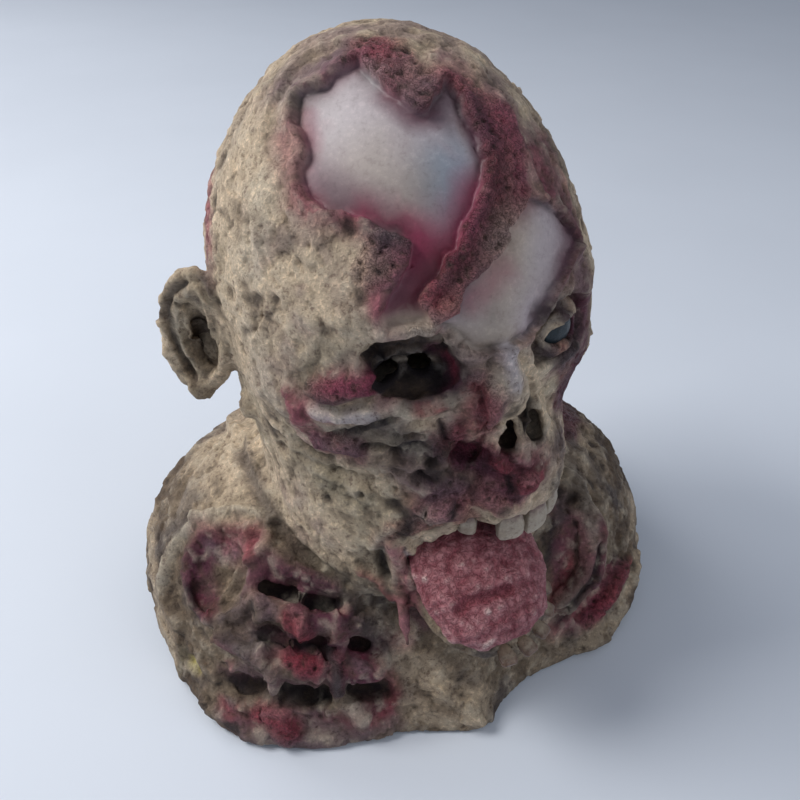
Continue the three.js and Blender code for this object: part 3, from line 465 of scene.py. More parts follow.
SCALP_STEP = 4.5
LIP_HEIGHT = 1.8
FOOT_DEPTH = 0.8
on_skull = np.nonzero((base[:, 2] > 215 * MM) & (base[:, 1] < HEAD_AXIS.y + 40 * MM))[0]
plate = np.full(len(base), 99.0)
brow = np.full(len(base), 99.0)
plate[on_skull] = from_outline(base[on_skull], SKULL_PLATE) / MM
brow[on_skull] = from_outline(base[on_skull], BROW_PLATE) / MM
edge = np.minimum(plate, brow)
ragged_edge = edge + 3.0 * (rough - 0.5) + 2.2 * (fine_rough - 0.5)
open_below = smooth_step(236 * MM, 262 * MM, base[:, 2])  # the step dies out on the brow
sharp = smooth_step(-0.6, 1.6, ragged_edge) - smooth_step(-10, 10, edge)
near_edge = smooth_step(45, 25, edge)
lip = np.exp(-(((ragged_edge - 3.0) / 2.6) ** 2))
foot = np.exp(-(((ragged_edge + 1.0) / 1.1) ** 2))
lift += (SCALP_STEP * sharp + LIP_HEIGHT * lip - FOOT_DEPTH * foot) * MM * open_below * near_edge
bone = smooth_step(0.8, -0.2, ragged_edge) * smooth_step(228 * MM, 250 * MM, base[:, 2])
print("bare bone", round(float(bone.mean()), 3))

# %% [markdown]
# Other torn edges are lines: the second layer over the left of the plate, the long crack down the
# left temple, and the layers of the cheek. `tear` makes a step on the right of the line as it is
# drawn. The lumps, folds, strands and pits after them are plain strokes, listed as pixels along
# the stroke, its half width and its height in millimetres, where a height below 0 is a groove.

# %% Tears and strokes
TEARS = [  # pixels, height, fade
    ([(354, 50), (341, 46), (327, 52), (313, 56), (300, 66), (292, 74), (278, 99)], 3.0, 20),
    ([(505, 102), (515, 120), (519, 138), (528, 156), (538, 179), (546, 202), (557, 214),
      (567, 226), (573, 241)], 2.8, 14),
    ([(257, 331), (263, 318), (266, 302), (262, 285)], 2.6, 12),
    ([(345, 463), (320, 452), (303, 438), (293, 424), (290, 408), (284, 392)], 2.4, 9),
    ([(262, 243), (268, 262), (277, 270)], 2.0, 8),
]
STROKES = [  # pixels, half width, height
    ([(316, 390), (333, 393), (350, 387), (370, 384)], 8, 4.5),  # cheek, top layer
    ([(309, 397), (322, 405), (339, 410), (355, 405), (371, 399), (380, 391)], 2.8, -3),
    ([(318, 413), (340, 418), (365, 415), (386, 409)], 7, 3),  # pale band below it
    ([(330, 436), (352, 430), (378, 422), (396, 417)], 3, -3.5),
    ([(325, 441), (341, 445), (357, 448)], 7, 3.5),
    ([(397, 402), (400, 412)], 5, 3),
    ([(412, 413), (433, 410), (449, 403)], 5, 3),
    ([(392, 457), (405, 450), (419, 446)], 5, -5),
    ([(397, 463), (411, 469), (421, 459), (432, 452)], 3, 3),
    ([(444, 450), (438, 462), (428, 474)], 3, 2.5),
    ([(352, 462), (372, 458), (388, 464)], 5, 3),
    ([(372, 436), (386, 432), (394, 440)], 4, 2.6),
    ([(404, 428), (420, 424), (436, 426)], 4, 2.6),
    ([(398, 474), (412, 482), (424, 492)], 4, 3),
    ([(340, 470), (352, 474)], 3, -3),
    ([(408, 436), (424, 436)], 2.4, -3.5),
    ([(289, 390), (297, 412), (309, 432), (326, 448)], 5, 1.8),
    ([(300, 456), (330, 471), (360, 479), (392, 478)], 4, -1.8),
    ([(318, 470), (345, 486), (372, 490)], 4, 1.6),
    ([(478, 373), (489, 384), (497, 396), (492, 412), (480, 427), (468, 436)], 6, 3),  # nose flap
    ([(474, 381), (482, 395), (484, 410), (474, 424)], 2, -2),
    ([(498, 404), (493, 420), (487, 440), (480, 457)], 3, 2.5),
    ([(453, 446), (468, 452), (482, 452)], 6, -6),  # red pit
    ([(508, 418), (511, 438)], 5, -5),  # nostrils
    ([(530, 408), (535, 430)], 5, -4.5),
    ([(502, 424), (506, 440)], 4, -4),
    ([(523, 412), (530, 434)], 4, -4),
    ([(496, 462), (506, 468)], 4, 3),  # lumps of the gums
    ([(516, 456), (528, 462)], 4, 3),
    ([(486, 478), (494, 484)], 4, 3),
    ([(462, 492), (470, 500)], 4, 2.6),
    ([(508, 478), (512, 490)], 2.4, -3),
    ([(534, 456), (540, 466)], 3, 2.4),
    ([(300, 440), (316, 452), (334, 456)], 3, -2.6),  # crevices of the cheek
    ([(364, 446), (380, 446), (390, 450)], 3, -3),
    ([(440, 422), (446, 440)], 2.6, -3),
    ([(420, 476), (432, 486)], 2.6, -3),
    ([(505, 347), (510, 362), (515, 380), (517, 394)], 6, 2),  # bone of the nose
    ([(492, 352), (489, 368), (481, 388)], 2.5, -2),
    ([(521, 352), (527, 372), (533, 394)], 2.5, -2),
    ([(464, 350), (476, 352), (486, 349), (498, 346), (512, 343)], 1.6, -1.2),  # seam of the bone
    ([(573, 241), (566, 257), (557, 278), (547, 296), (536, 317)], 5, 2.5),  # edge of the brow
    ([(537, 336), (545, 322), (556, 314), (567, 317)], 2.5, 2.2),  # lids
    ([(540, 344), (552, 350), (564, 342)], 2.5, 2),
    ([(538, 330), (546, 312), (558, 304), (571, 308)], 2, -1.6),
    ([(541, 367), (558, 358), (574, 346)], 4, 2),
    ([(366, 345), (380, 333), (400, 328), (420, 331), (445, 341), (462, 356)], 4, 1.8),
    ([(392, 382), (415, 384), (440, 378)], 12, -5),  # floor of the socket
    ([(376, 362), (388, 354), (402, 350), (420, 350)], 2, 2.6),  # dried flesh in the socket
    ([(380, 369), (396, 360), (414, 357), (436, 358)], 2, 2.6),
    ([(386, 375), (402, 367), (422, 364), (442, 366)], 2, 2.2),
    ([(398, 346), (402, 358), (400, 370)], 1.6, -1.6),
    ([(416, 346), (419, 358), (415, 370)], 1.6, -1.6),
    ([(214, 294), (207, 277), (190, 272), (172, 279), (162, 296), (159, 316), (167, 330)], 3.5, 3),
    ([(172, 345), (186, 374), (203, 400), (222, 414)], 3, 2),  # ear: rim, groove, inner fold
    ([(185, 283), (172, 292), (167, 308), (171, 330), (181, 353), (197, 379)], 2.6, -3),
    ([(191, 290), (179, 305), (179, 330), (189, 356), (203, 376)], 3.4, 2),
    ([(197, 326), (201, 342), (208, 358)], 8, -8),
    ([(198, 384), (210, 402), (228, 420), (238, 432)], 6, 4.5),  # lobe, down to the jaw
    ([(197, 285), (206, 300), (211, 318), (212, 336)], 2.6, 2.4),
    ([(415, 505), (431, 516), (447, 508)], 7, 4),  # gums
    ([(478, 491), (490, 501), (500, 510)], 6, 3.5),
    ([(519, 490), (531, 483), (538, 476)], 7, 3.5),
    ([(553, 486), (559, 497)], 5, 2),
    ([(468, 470), (484, 476), (500, 478)], 4, -3),
    ([(455, 486), (447, 478), (436, 470)], 3.5, 2),
    ([(458, 503), (453, 515)], 2.4, -3),
    ([(513, 500), (519, 514)], 2, -3),
    ([(372, 547), (379, 534), (394, 526)], 4, 2.4),  # torn corner of the mouth
    ([(345, 560), (362, 572), (380, 582), (392, 597)], 3.4, 2.6),
    ([(378, 552), (381, 566), (386, 576)], 4, -5),
    ([(391, 541), (397, 558), (408, 580)], 4.4, 3),
    ([(404, 540), (413, 560), (421, 574)], 3, 2.6),
    ([(240, 422), (258, 470), (276, 507), (300, 536), (340, 570)], 5, 1.6),  # edge of the jaw
    ([(238, 440), (252, 486), (272, 520), (304, 552), (346, 584)], 5, -2.5),
    ([(362, 493), (362.5, 493)], 6.5, 2.4),  # pits
    ([(362, 493), (362.5, 493)], 3, -6),
    ([(280, 446), (283, 449)], 5, -5),
    ([(392, 487), (395, 489)], 2.5, -3),
    ([(298, 262), (300, 268)], 2.2, -2),
    ([(283, 214), (285, 222)], 2, -1.6),
    ([(272, 232), (274, 240)], 2.4, -2),
    ([(216, 415), (192, 440), (168, 468), (152, 500)], 7, 2.5),  # fold behind the shoulder
    ([(228, 424), (206, 452), (186, 480), (176, 506)], 6, -2.5),
    ([(201, 519), (182, 536), (170, 560), (164, 585), (171, 608), (181, 626)], 7, 5),
    ([(201, 519), (226, 511), (254, 510), (272, 520)], 6, 5),
    ([(272, 522), (266, 545), (250, 560), (238, 582), (222, 606)], 5, 4.5),
    ([(214, 545), (219, 566), (210, 586)], 9, 2),
    ([(200, 590), (199, 608)], 7, -6),
    ([(188, 660), (196, 668)], 7, -4),
    ([(178, 640), (180, 668), (190, 696)], 6, 1.6),
    ([(264, 587), (282, 592), (299, 596)], 6, -6),  # gaps between the ribs
    ([(303, 599), (319, 603), (336, 606)], 6, -6),
    ([(264, 639), (280, 643), (297, 645)], 5, -6),
    ([(346, 643), (356, 644), (366, 646)], 4.5, -6),
    ([(225, 683), (246, 687), (268, 692)], 8, -6),
    ([(283, 691), (304, 694), (324, 696)], 9, -6),
    ([(354, 688), (368, 688), (382, 687)], 8, -6),
    ([(288, 616), (296, 626), (304, 632)], 8, 4),  # flesh on the ribs
    ([(254, 598), (262, 612), (256, 628)], 5, 4),
    ([(300, 596), (306, 616), (300, 634)], 4, 3.5),
    ([(336, 606), (340, 624), (334, 642)], 5, 4),
    ([(258, 640), (262, 660), (270, 676)], 4, 3.5),
    ([(312, 648), (322, 668), (316, 684)], 4, 3.5),
    ([(262, 604), (270, 614)], 7, 2.5),
    ([(318, 616), (332, 622), (346, 616)], 6, 2.5),
    ([(290, 660), (300, 667), (310, 664)], 8, 4),
    ([(316, 654), (318, 662)], 3, 3),
    ([(240, 650), (254, 656), (262, 648)], 6, 3),
    ([(228, 661), (233, 668)], 4, 3),
    ([(331, 648), (335, 672), (338, 692)], 5, 3.4),
    ([(352, 660), (362, 668)], 6, 2.5),
    ([(274, 668), (274, 690), (277, 704)], 3, 3),  # strand across the gap
    ([(384, 645), (390, 668), (396, 690)], 3, 2.4),
    ([(264, 712), (280, 722), (284, 736)], 8, 3.4),  # strips over the hem
    ([(350, 706), (360, 716), (364, 726)], 7, 3),
    ([(236, 708), (262, 712), (300, 710), (350, 704), (392, 700)], 3, 1.6),
    ([(400, 690), (420, 706), (450, 716), (480, 722)], 5, 1.6),
    ([(420, 668), (446, 684), (474, 694)], 5, -1.6),
    ([(570, 512), (584, 530), (588, 560), (572, 590), (552, 606)], 9, 3),  # collar bone
    ([(604, 548), (596, 580), (574, 606), (556, 622)], 6, -5),
    ([(628, 560), (616, 588), (596, 612), (574, 634)], 7, 2.5),
    ([(566, 438), (590, 446), (612, 462), (630, 486)], 6, -1.8),
    ([(580, 424), (606, 436), (626, 456)], 6, 1.8),
    ([(566, 470), (586, 484), (600, 504)], 5, 1.8),
]
for pixels, height, fade in TEARS:
    tear(pixels, height, fade)
for pixels, width, height in STROKES:
    sculpt(pixels, width, height)
print("strokes", len(STROKES), "lift from", round(float(lift.min()) / MM, 1), "mm to",
      round(float(lift.max()) / MM, 1), "mm")

# %% [markdown]
# Then come wrinkles, flakes, granules and pits all over, as on crumpled latex, in patches that
# are calmer and rougher. The bare bone stays almost smooth. Torn flesh gets a pitted grain like
# orange peel. A point that lies in a hollow of the noise is remembered, because the hollows are
# painted darker, partly thinned dark paint and partly painted shade, and the ridges paler, partly
# dry brushing and partly painted highlight.

# %% Flesh and grain
FLESH_LINES = [  # pixels and half width of the raw, granular flesh
    ([(440, 90), (468, 105), (492, 122)], 15),
    ([(495, 128), (503, 160), (508, 190), (500, 215)], 15),
    ([(492, 220), (478, 250), (462, 278), (442, 304), (432, 315)], 13),
    ([(375, 55), (395, 70), (412, 92), (420, 106)], 17),
    ([(405, 235), (385, 250), (372, 270)], 10),
    ([(316, 390), (340, 390), (368, 385)], 8),
    ([(325, 440), (356, 446)], 8),
    ([(478, 380), (496, 398), (482, 425)], 8),
    ([(450, 440), (480, 452), (500, 475), (520, 480)], 13),
    ([(425, 510), (455, 492), (488, 496), (520, 490)], 10),
    ([(395, 530), (430, 520), (470, 515)], 8),
    ([(292, 616), (306, 632)], 8),
    ([(292, 660), (312, 664)], 8),
    ([(335, 650), (338, 690)], 6),
    ([(264, 714), (284, 736)], 9),
    ([(560, 330), (572, 380), (566, 430)], 10),
    ([(622, 570), (590, 620)], 8),
]
flesh = np.zeros(len(base), np.float32)
for pixels, width in FLESH_LINES:
    close, away, _ = near_line(trace(pixels), 1.5 * width * MM)
    share = away / (width * MM) + 0.7 * (rough[close] - 0.5)
    flesh[close] = np.maximum(flesh[close], smooth_step(1.1, 0.7, share))
flesh *= 1 - bone
hide = 1 - bone

GRAIN_HEIGHT = 2.3  # heights in mm
FLAKE_HEIGHT = 1.1
FLAKE_GROOVE = 0.4
KNOB_HEIGHT = 0.7
FLESH_HEIGHT = 1.8
PORE_DEPTH = 1.5
wrinkles = creases(base * (1, 1, 1.3), 26 * MM, 3, 31)
swell = clouds(base, 34 * MM, 2, 41)
grain = clouds(base, 5 * MM, 2, 51)
pitted = smooth_step(0.1, 0.5, cells(base, 4.2 * MM, 61))
pores = smooth_step(0.55, 0.2, cells(base, 13 * MM, 71)) * smooth_step(0.55, 0.7, swell)
low_down = smooth_step(130 * MM, 90 * MM, base[:, 2])  # the bib is more crumpled than the head
lift += hide * (0.9 + 0.9 * low_down) * (wrinkles - 0.35) * MM
lift += hide * 0.8 * (swell - 0.5) * MM
crumpled = 0.45 + 0.75 * smooth_step(0.42, 0.6, swell)  # some patches are calmer
lift += hide * crumpled * GRAIN_HEIGHT * (grain - 0.5) * MM + 0.3 * bone * (swell - 0.5) * MM
crust = clouds(base, 12 * MM, 3, 101)
flake = smooth_step(0.49, 0.54, crust)  # the upper layer of paint and skin, with a sharp edge
flake_edge = np.exp(-(((crust - 0.49) / 0.022) ** 2))
lift += hide * (1 - flesh) * (FLAKE_HEIGHT * (flake - 0.5) - FLAKE_GROOVE * flake_edge) * MM
knobs = cells(base, 5.5 * MM, 107)
lift += hide * crumpled * KNOB_HEIGHT * (0.5 - knobs) * MM
lift += flesh * FLESH_HEIGHT * (pitted - 0.6) * MM
lift -= hide * (1 - flesh) * PORE_DEPTH * pores * MM
hollows = np.clip(0.5 - 0.5 * (wrinkles - 0.4) - 0.7 * (grain - 0.5) + 0.6 * pores, 0, 1)
hollows = hollows + flesh * 0.6 * (0.6 - pitted)
hollows = hollows + (1 - flesh) * (0.2 * flake_edge + 0.15 * (knobs - 0.5))

THINNEST = 1.2 * MM  # what a groove leaves of the wall
room = np.full(len(base), 9.0, np.float32)
for index, (spot, way) in enumerate(zip(base.tolist(), normal.tolist())):
    inward = -Vector(way)
    hit = tree.ray_cast(Vector(spot) + inward * 0.2 * MM, inward, 40 * MM)
    if hit[0] is not None:
        room[index] = hit[3]
lift = np.maximum(lift, np.minimum(THINNEST - room, 0))
print("walls thinner than 2 mm before carving:", int((room < 2 * MM).sum()), "points")

moved = places.copy()
moved[mine] = base + normal * lift[:, None]
moved[:, 2] = np.maximum(moved[:, 2], 0)
set_points(skin, moved)
add_modifier(skin, "SMOOTH", factor=0.3, iterations=1)

# %% [markdown]
# The paint is put on in layers, as the maker does it: a tan base coat, broad washes of olive, grey
# and purple, then the airbrush round each tear and red in the flesh. Near black in every hole,
# groove and gap is partly the mask's own dark paint and partly painted shade; the dark lines at the
# foot of the torn edges are painted shadow, and the right side is darkened with painted shade. A
# last dry brushing of cream on what stands up is partly painted highlight. Each stroke is a line of
# pixels, a colour, a half width in millimetres and a strength.

# %% Paint
COLOURS = {
    "tan": (198, 178, 152), "cream": (198, 186, 166), "olive": (116, 108, 88),
    "grey": (118, 110, 104), "smoke": (74, 66, 66), "night": (28, 20, 24),
    "mauve": (112, 88, 96), "plum": (88, 42, 60), "magenta": (138, 50, 78),
    "red": (142, 54, 66), "raw": (92, 32, 42), "pink": (170, 118, 120),
    "bone": (176, 163, 166), "chalk": (192, 183, 185), "blue": (128, 144, 160),
    "umber": (84, 68, 54), "yellow": (196, 184, 110), "beige": (178, 164, 148),
}
paint = np.tile(linear(COLOURS["tan"]), (len(base), 1))


def coat(colour, share):
    """Lays a colour over the paint, by a share from 0 to 1 at each point."""
    share = np.clip(share, 0, 1)[:, None]
    paint[:] = paint * (1 - share) + linear(COLOURS[colour]) * share


def airbrush(colour, pixels, width, strength):
    close, away, _ = near_line(trace(pixels), 1.6 * width * MM)
    spray = away / (width * MM) + 0.55 * (rough[close] - 0.5)
    share = strength * smooth_step(1.25, 0.1, spray)[:, None]
    paint[close] = paint[close] * (1 - share) + linear(COLOURS[colour]) * share


patches = clouds(base, 60 * MM, 3, 81)
spots = clouds(base, 16 * MM, 3, 91)
coat("olive", 0.45 * smooth_step(0.5, 0.68, patches))
coat("mauve", 0.42 * smooth_step(0.5, 0.36, patches) * smooth_step(0.45, 0.6, spots))
coat("umber", low_down * (0.7 + 0.25 * smooth_step(0.45, 0.62, spots)))
coat("smoke", low_down * 0.75 * smooth_step(0.56, 0.68, clouds(base, 22 * MM, 3, 97)))
crown = smooth_step(340 * MM, 390 * MM, base[:, 2])
coat("mauve", 0.55 * crown * smooth_step(0.3, 0.6, spots))
torn_rim = smooth_step(16, 2, edge) * smooth_step(240 * MM, 262 * MM, base[:, 2])
coat("mauve", 0.4 * torn_rim * (1 - bone))
coat("magenta", 0.24 * smooth_step(8, 1, edge) * (1 - bone) * open_below)
coat("bone", bone)
# Plum on the bone just inside the torn edge is painted shadow under the raised scalp.
rim_of_bone = bone * smooth_step(-15, -1, edge) * open_below
coat("plum", 0.5 * rim_of_bone**1.5)
cracks = creases(base, 34 * MM, 2, 111)
coat("mauve", 0.45 * bone * smooth_step(0.84, 0.95, cracks))
coat("grey", 0.32 * bone * smooth_step(0.46, 0.64, spots))
# A near-black line at the foot of the scalp step is painted shadow.
coat("night", 0.75 * foot * open_below)
coat("red", 0.5 * flesh)
coat("raw", flesh * 0.8 * smooth_step(0.55, 0.15, pitted))
coat("mauve", flesh * 0.5 * smooth_step(0.5, 0.7, spots))

SOCKET_RIM = [
    (368, 352), (380, 341), (398, 336), (420, 336), (441, 343), (455, 356), (457, 373), (448, 388),
    (430, 395), (406, 395), (385, 391), (371, 380), (364, 365),
]
SOCKET_MIDDLE = (402, 385)  # on the floor, below the slits
SOCKET_REACH = 46 * MM
near_socket = np.linalg.norm(base - place(*SOCKET_MIDDLE), axis=1) < SOCKET_REACH
socket_share = np.zeros(len(base), np.float32)
from_rim = from_ring(in_photo(base[near_socket]), np.array(SOCKET_RIM, float))
socket_share[near_socket] = smooth_step(2.5, -3.5, from_rim + 4 * (rough[near_socket] - 0.5))
# Near black over the empty eye socket is partly the mask's own dark paint and partly painted shade
# in the deep socket.
coat("night", 0.93 * socket_share)

# Night, smoke and umber along grooves, gaps, pits and holes are partly the mask's own dark paint
# and partly painted shade.
AIRBRUSH = [  # colour, pixels, half width, strength
    ("umber", [(300, 400), (340, 430), (390, 450), (420, 470)], 28, 0.42),
    ("umber", [(150, 480), (160, 540), (172, 620), (190, 690)], 22, 0.4),
    ("magenta", [(214, 170), (208, 200), (208, 250)], 8, 0.55),
    ("plum", [(207, 215), (209, 262)], 6, 0.5),
    ("magenta", [(330, 72), (352, 60), (380, 50)], 10, 0.45),
    ("magenta", [(455, 70), (500, 110), (525, 160)], 16, 0.4),
    ("magenta", [(500, 130), (512, 170), (516, 200)], 14, 0.5),
    ("plum", [(575, 250), (586, 300), (584, 350)], 14, 0.5),
    ("magenta", [(545, 140), (562, 180), (572, 215)], 10, 0.5),
    ("magenta", [(294, 396), (304, 424), (330, 446), (352, 450)], 11, 0.6),
    ("magenta", [(336, 380), (366, 380)], 10, 0.55),
    ("plum", [(392, 398), (420, 400), (448, 392)], 8, 0.6),
    ("magenta", [(440, 438), (470, 446), (500, 462), (530, 462)], 16, 0.55),
    ("magenta", [(414, 500), (446, 500), (480, 494), (516, 492)], 13, 0.5),
    ("magenta", [(382, 540), (400, 560), (410, 590), (404, 640)], 10, 0.6),
    ("magenta", [(262, 575), (300, 596), (340, 612), (366, 640)], 17, 0.55),
    ("magenta", [(280, 650), (310, 662), (350, 664), (380, 676)], 14, 0.5),
    ("magenta", [(215, 645), (240, 652), (262, 650)], 9, 0.5),
    ("magenta", [(232, 712), (280, 722), (340, 722), (386, 712)], 11, 0.45),
    ("magenta", [(210, 540), (230, 545), (250, 540)], 16, 0.7),
    ("plum", [(190, 560), (200, 590), (205, 612)], 12, 0.7),
    ("magenta", [(600, 530), (604, 570), (590, 605), (560, 625)], 14, 0.55),
    # Plum and smoke along the gaps between the ribs are painted shade between them.
    ("plum", [(256, 570), (300, 584), (345, 598)], 11, 0.7),
    ("plum", [(262, 632), (300, 640), (345, 645)], 9, 0.65),
    ("plum", [(225, 674), (300, 684), (380, 682)], 9, 0.65),
    ("smoke", [(330, 586), (360, 608), (382, 638)], 15, 0.6),
    ("smoke", [(224, 640), (244, 650), (262, 642)], 9, 0.6),
    # Plum inside the tear of the shoulder is painted shade.
    ("plum", [(206, 546), (200, 575), (206, 600)], 14, 0.8),
    ("mauve", [(310, 160), (330, 190), (362, 212)], 15, 0.5),
    ("magenta", [(556, 500), (566, 540), (560, 580)], 12, 0.5),
    ("plum", [(440, 440), (470, 456), (500, 470), (540, 470)], 18, 0.7),
    # Painted shade: broad plum down the right temple darkens the side away from the key light.
    ("plum", [(560, 250), (578, 300), (580, 360), (566, 420)], 20, 0.5),
    ("tan", [(293, 112), (297, 150), (293, 185)], 7, 0.6),
    ("plum", [(474, 108), (492, 145), (500, 190)], 9, 0.6),
    ("smoke", [(380, 430), (412, 446), (432, 462)], 12, 0.55),
    ("mauve", [(400, 470), (430, 490), (440, 512)], 13, 0.6),
    ("olive", [(300, 460), (340, 500), (370, 530)], 22, 0.5),
    ("olive", [(270, 400), (300, 440), (330, 480)], 14, 0.35),
    # Painted shade: more plum down the right temple, on the side away from the key light.
    ("plum", [(582, 290), (582, 340), (572, 400), (560, 450)], 14, 0.6),
    ("mauve", [(470, 356), (462, 390), (450, 420)], 14, 0.45),
    ("smoke", [(350, 430), (380, 424), (400, 420)], 9, 0.45),
    # Painted shade: umber, smoke and plum over the right shoulder, on the side away from the key
    # light.
    ("umber", [(600, 410), (630, 460), (645, 520), (630, 590)], 24, 0.5),
    ("smoke", [(560, 440), (580, 480), (590, 520)], 16, 0.6),
    ("plum", [(560, 520), (590, 560), (570, 610)], 18, 0.5),
    ("plum", [(270, 580), (320, 600), (360, 640), (380, 690)], 26, 0.45),
    ("mauve", [(240, 610), (250, 660), (290, 700)], 22, 0.35),
    ("chalk", [(350, 130), (372, 118)], 24, 0.7),
    ("chalk", [(400, 150), (430, 160)], 22, 0.6),
    ("chalk", [(330, 110), (352, 90)], 14, 0.6),
    ("beige", [(370, 165), (400, 195)], 24, 0.5),
    ("blue", [(445, 165), (452, 196)], 18, 0.75),
    ("grey", [(420, 175), (430, 200)], 16, 0.35),
    ("mauve", [(320, 180), (345, 200), (380, 218)], 14, 0.7),
    ("magenta", [(366, 218), (398, 232), (420, 246)], 12, 0.8),
    ("magenta", [(474, 190), (462, 222), (446, 250)], 12, 0.85),
    ("magenta", [(418, 240), (415, 270), (402, 300)], 17, 0.85),
    ("raw", [(440, 258), (424, 280), (410, 306)], 11, 0.6),
    ("raw", [(392, 318), (400, 306)], 9, 0.6),
    ("plum", [(388, 94), (410, 116), (432, 116)], 9, 0.75),
    ("magenta", [(304, 112), (310, 138)], 7, 0.5),
    ("plum", [(470, 122), (484, 150)], 7, 0.6),
    ("mauve", [(285, 92), (305, 75), (335, 58)], 12, 0.8),
    ("smoke", [(297, 100), (295, 124)], 5, 0.7),
    ("magenta", [(285, 140), (292, 170), (296, 195)], 14, 0.45),
    ("red", [(300, 200), (330, 222), (360, 232)], 9, 0.35),
    ("smoke", [(372, 226), (392, 236)], 7, 0.7),
    ("smoke", [(384, 240), (396, 236), (404, 246)], 7, 0.6),
    ("mauve", [(380, 256), (388, 285), (378, 305)], 14, 0.5),
    ("tan", [(350, 250), (350, 290), (356, 315)], 12, 0.5),
    ("magenta", [(372, 300), (380, 318)], 7, 0.6),
    ("red", [(378, 46), (392, 60), (400, 80)], 10, 0.5),
    ("mauve", [(405, 70), (425, 90)], 12, 0.5),
    ("raw", [(490, 165), (498, 190), (488, 220)], 10, 0.7),
    ("raw", [(470, 250), (456, 275)], 10, 0.6),
    ("red", [(438, 300), (432, 312)], 9, 0.5),
    ("pink", [(424, 306), (432, 318), (446, 316)], 4, 0.6),
    ("plum", [(472, 300), (490, 275)], 9, 0.6),
    ("magenta", [(500, 262), (515, 225)], 12, 0.35),
    # Near black along the crack down the temple is painted shadow at the foot of its raised side.
    ("night", [(506, 104), (516, 122), (520, 140), (529, 158), (539, 181), (547, 203)], 1.8, 0.9),
    ("night", [(557, 214), (567, 227), (573, 241)], 2.2, 0.8),
    ("plum", [(540, 150), (556, 190), (572, 220)], 13, 0.75),
    ("magenta", [(535, 155), (548, 185)], 9, 0.5),
    ("smoke", [(560, 120), (575, 160)], 12, 0.5),
    ("beige", [(520, 240), (512, 270), (500, 300)], 20, 0.75),
    ("chalk", [(545, 228), (540, 255)], 12, 0.55),
    ("bone", [(550, 240), (540, 285), (528, 315)], 12, 0.6),
    ("magenta", [(478, 300), (494, 285), (506, 270)], 9, 0.45),
    ("grey", [(496, 315), (500, 330)], 9, 0.4),
    ("beige", [(420, 325), (450, 335), (480, 340), (510, 335)], 11, 0.6),
    ("cream", [(372, 330), (395, 322), (425, 326)], 6, 0.5),
    # Near black in the socket: partly dark paint, partly painted shade.
    ("night", [(376, 356), (400, 344), (430, 348), (450, 364), (452, 378)], 12, 0.9),
    ("night", [(378, 378), (400, 388), (426, 390), (446, 384)], 13, 0.92),
    ("plum", [(432, 346), (450, 358), (456, 376), (446, 388)], 6, 0.75),
    ("red", [(444, 352), (454, 366), (454, 378)], 3, 0.5),
    ("night", [(374, 366), (378, 380)], 8, 0.9),
    ("grey", [(378, 360), (402, 351), (420, 351)], 2.4, 0.75),
    ("beige", [(384, 366), (400, 358), (414, 356), (434, 358)], 2.2, 0.7),
    ("grey", [(388, 374), (404, 367), (424, 364), (442, 366)], 2.2, 0.75),
    ("umber", [(384, 386), (392, 390)], 3.5, 0.6),
    ("umber", [(416, 388), (424, 390)], 3.5, 0.6),
    ("night", [(540, 312), (556, 306), (572, 318)], 8, 0.85),
    ("night", [(572, 330), (570, 350)], 8, 0.85),
    ("smoke", [(538, 350), (552, 362), (566, 362)], 8, 0.8),
    ("plum", [(560, 262), (556, 290), (546, 302)], 6, 0.5),
    ("grey", [(541, 336), (548, 322), (560, 318)], 3, 0.7),
    ("pink", [(548, 376), (562, 366), (576, 352)], 5, 0.4),
    # Painted shade: plum and mauve on the right temple, away from the key light.
    ("plum", [(584, 300), (584, 350), (574, 400)], 12, 0.6),
    ("mauve", [(578, 260), (582, 290)], 9, 0.6),
    ("magenta", [(322, 382), (346, 384), (366, 386)], 8, 0.75),
    ("plum", [(322, 396), (336, 402), (350, 398)], 4, 0.7),
    ("pink", [(306, 402), (318, 412), (332, 420)], 7, 0.8),
    ("chalk", [(318, 412), (342, 418), (370, 414)], 6, 0.7),
    ("smoke", [(346, 430), (362, 425), (384, 420)], 4, 0.8),
    ("mauve", [(325, 440), (345, 446), (356, 448)], 8, 0.6),
    ("magenta", [(292, 395), (300, 410), (306, 420)], 7, 0.5),
    ("pink", [(294, 425), (306, 440)], 5, 0.45),
    ("pink", [(380, 404), (392, 402)], 5, 0.5),
    ("cream", [(396, 406), (408, 414)], 5, 0.6),
    ("red", [(420, 410), (436, 406)], 6, 0.6),
    ("red", [(486, 380), (492, 396), (488, 414), (476, 428)], 6, 0.75),
    ("pink", [(495, 396), (494, 412), (480, 430)], 3, 0.55),
    ("beige", [(478, 380), (490, 378)], 5, 0.5),
    ("raw", [(448, 446), (466, 452), (480, 450)], 8, 0.9),
    ("plum", [(462, 462), (488, 470)], 9, 0.8),
    ("magenta", [(478, 448), (470, 446)], 6, 0.5),
    ("smoke", [(396, 454), (410, 448), (424, 446)], 6, 0.8),
    ("olive", [(396, 436), (420, 434), (440, 432)], 9, 0.4),
    # Near black in the cheek's crevices is partly dark paint and partly painted shade.
    ("night", [(330, 434), (360, 430), (392, 421)], 2.4, 0.85),
    ("night", [(364, 446), (380, 446), (390, 450)], 3, 0.8),
    ("night", [(300, 440), (316, 452), (334, 456)], 2.6, 0.7),
    ("night", [(440, 422), (446, 440)], 2.6, 0.75),
    ("night", [(420, 476), (432, 486)], 2.6, 0.75),
    ("night", [(392, 456), (406, 450), (420, 446)], 4, 0.8),
    ("plum", [(536, 314), (556, 303), (573, 318), (573, 348), (553, 360), (538, 348)], 6, 0.75),
    ("olive", [(330, 480), (370, 500), (400, 505)], 14, 0.5),
    ("mauve", [(425, 480), (440, 494), (455, 486)], 9, 0.6),
    ("bone", [(506, 350), (511, 366), (516, 384)], 6, 0.6),
    ("beige", [(498, 380), (512, 392), (524, 398)], 8, 0.6),
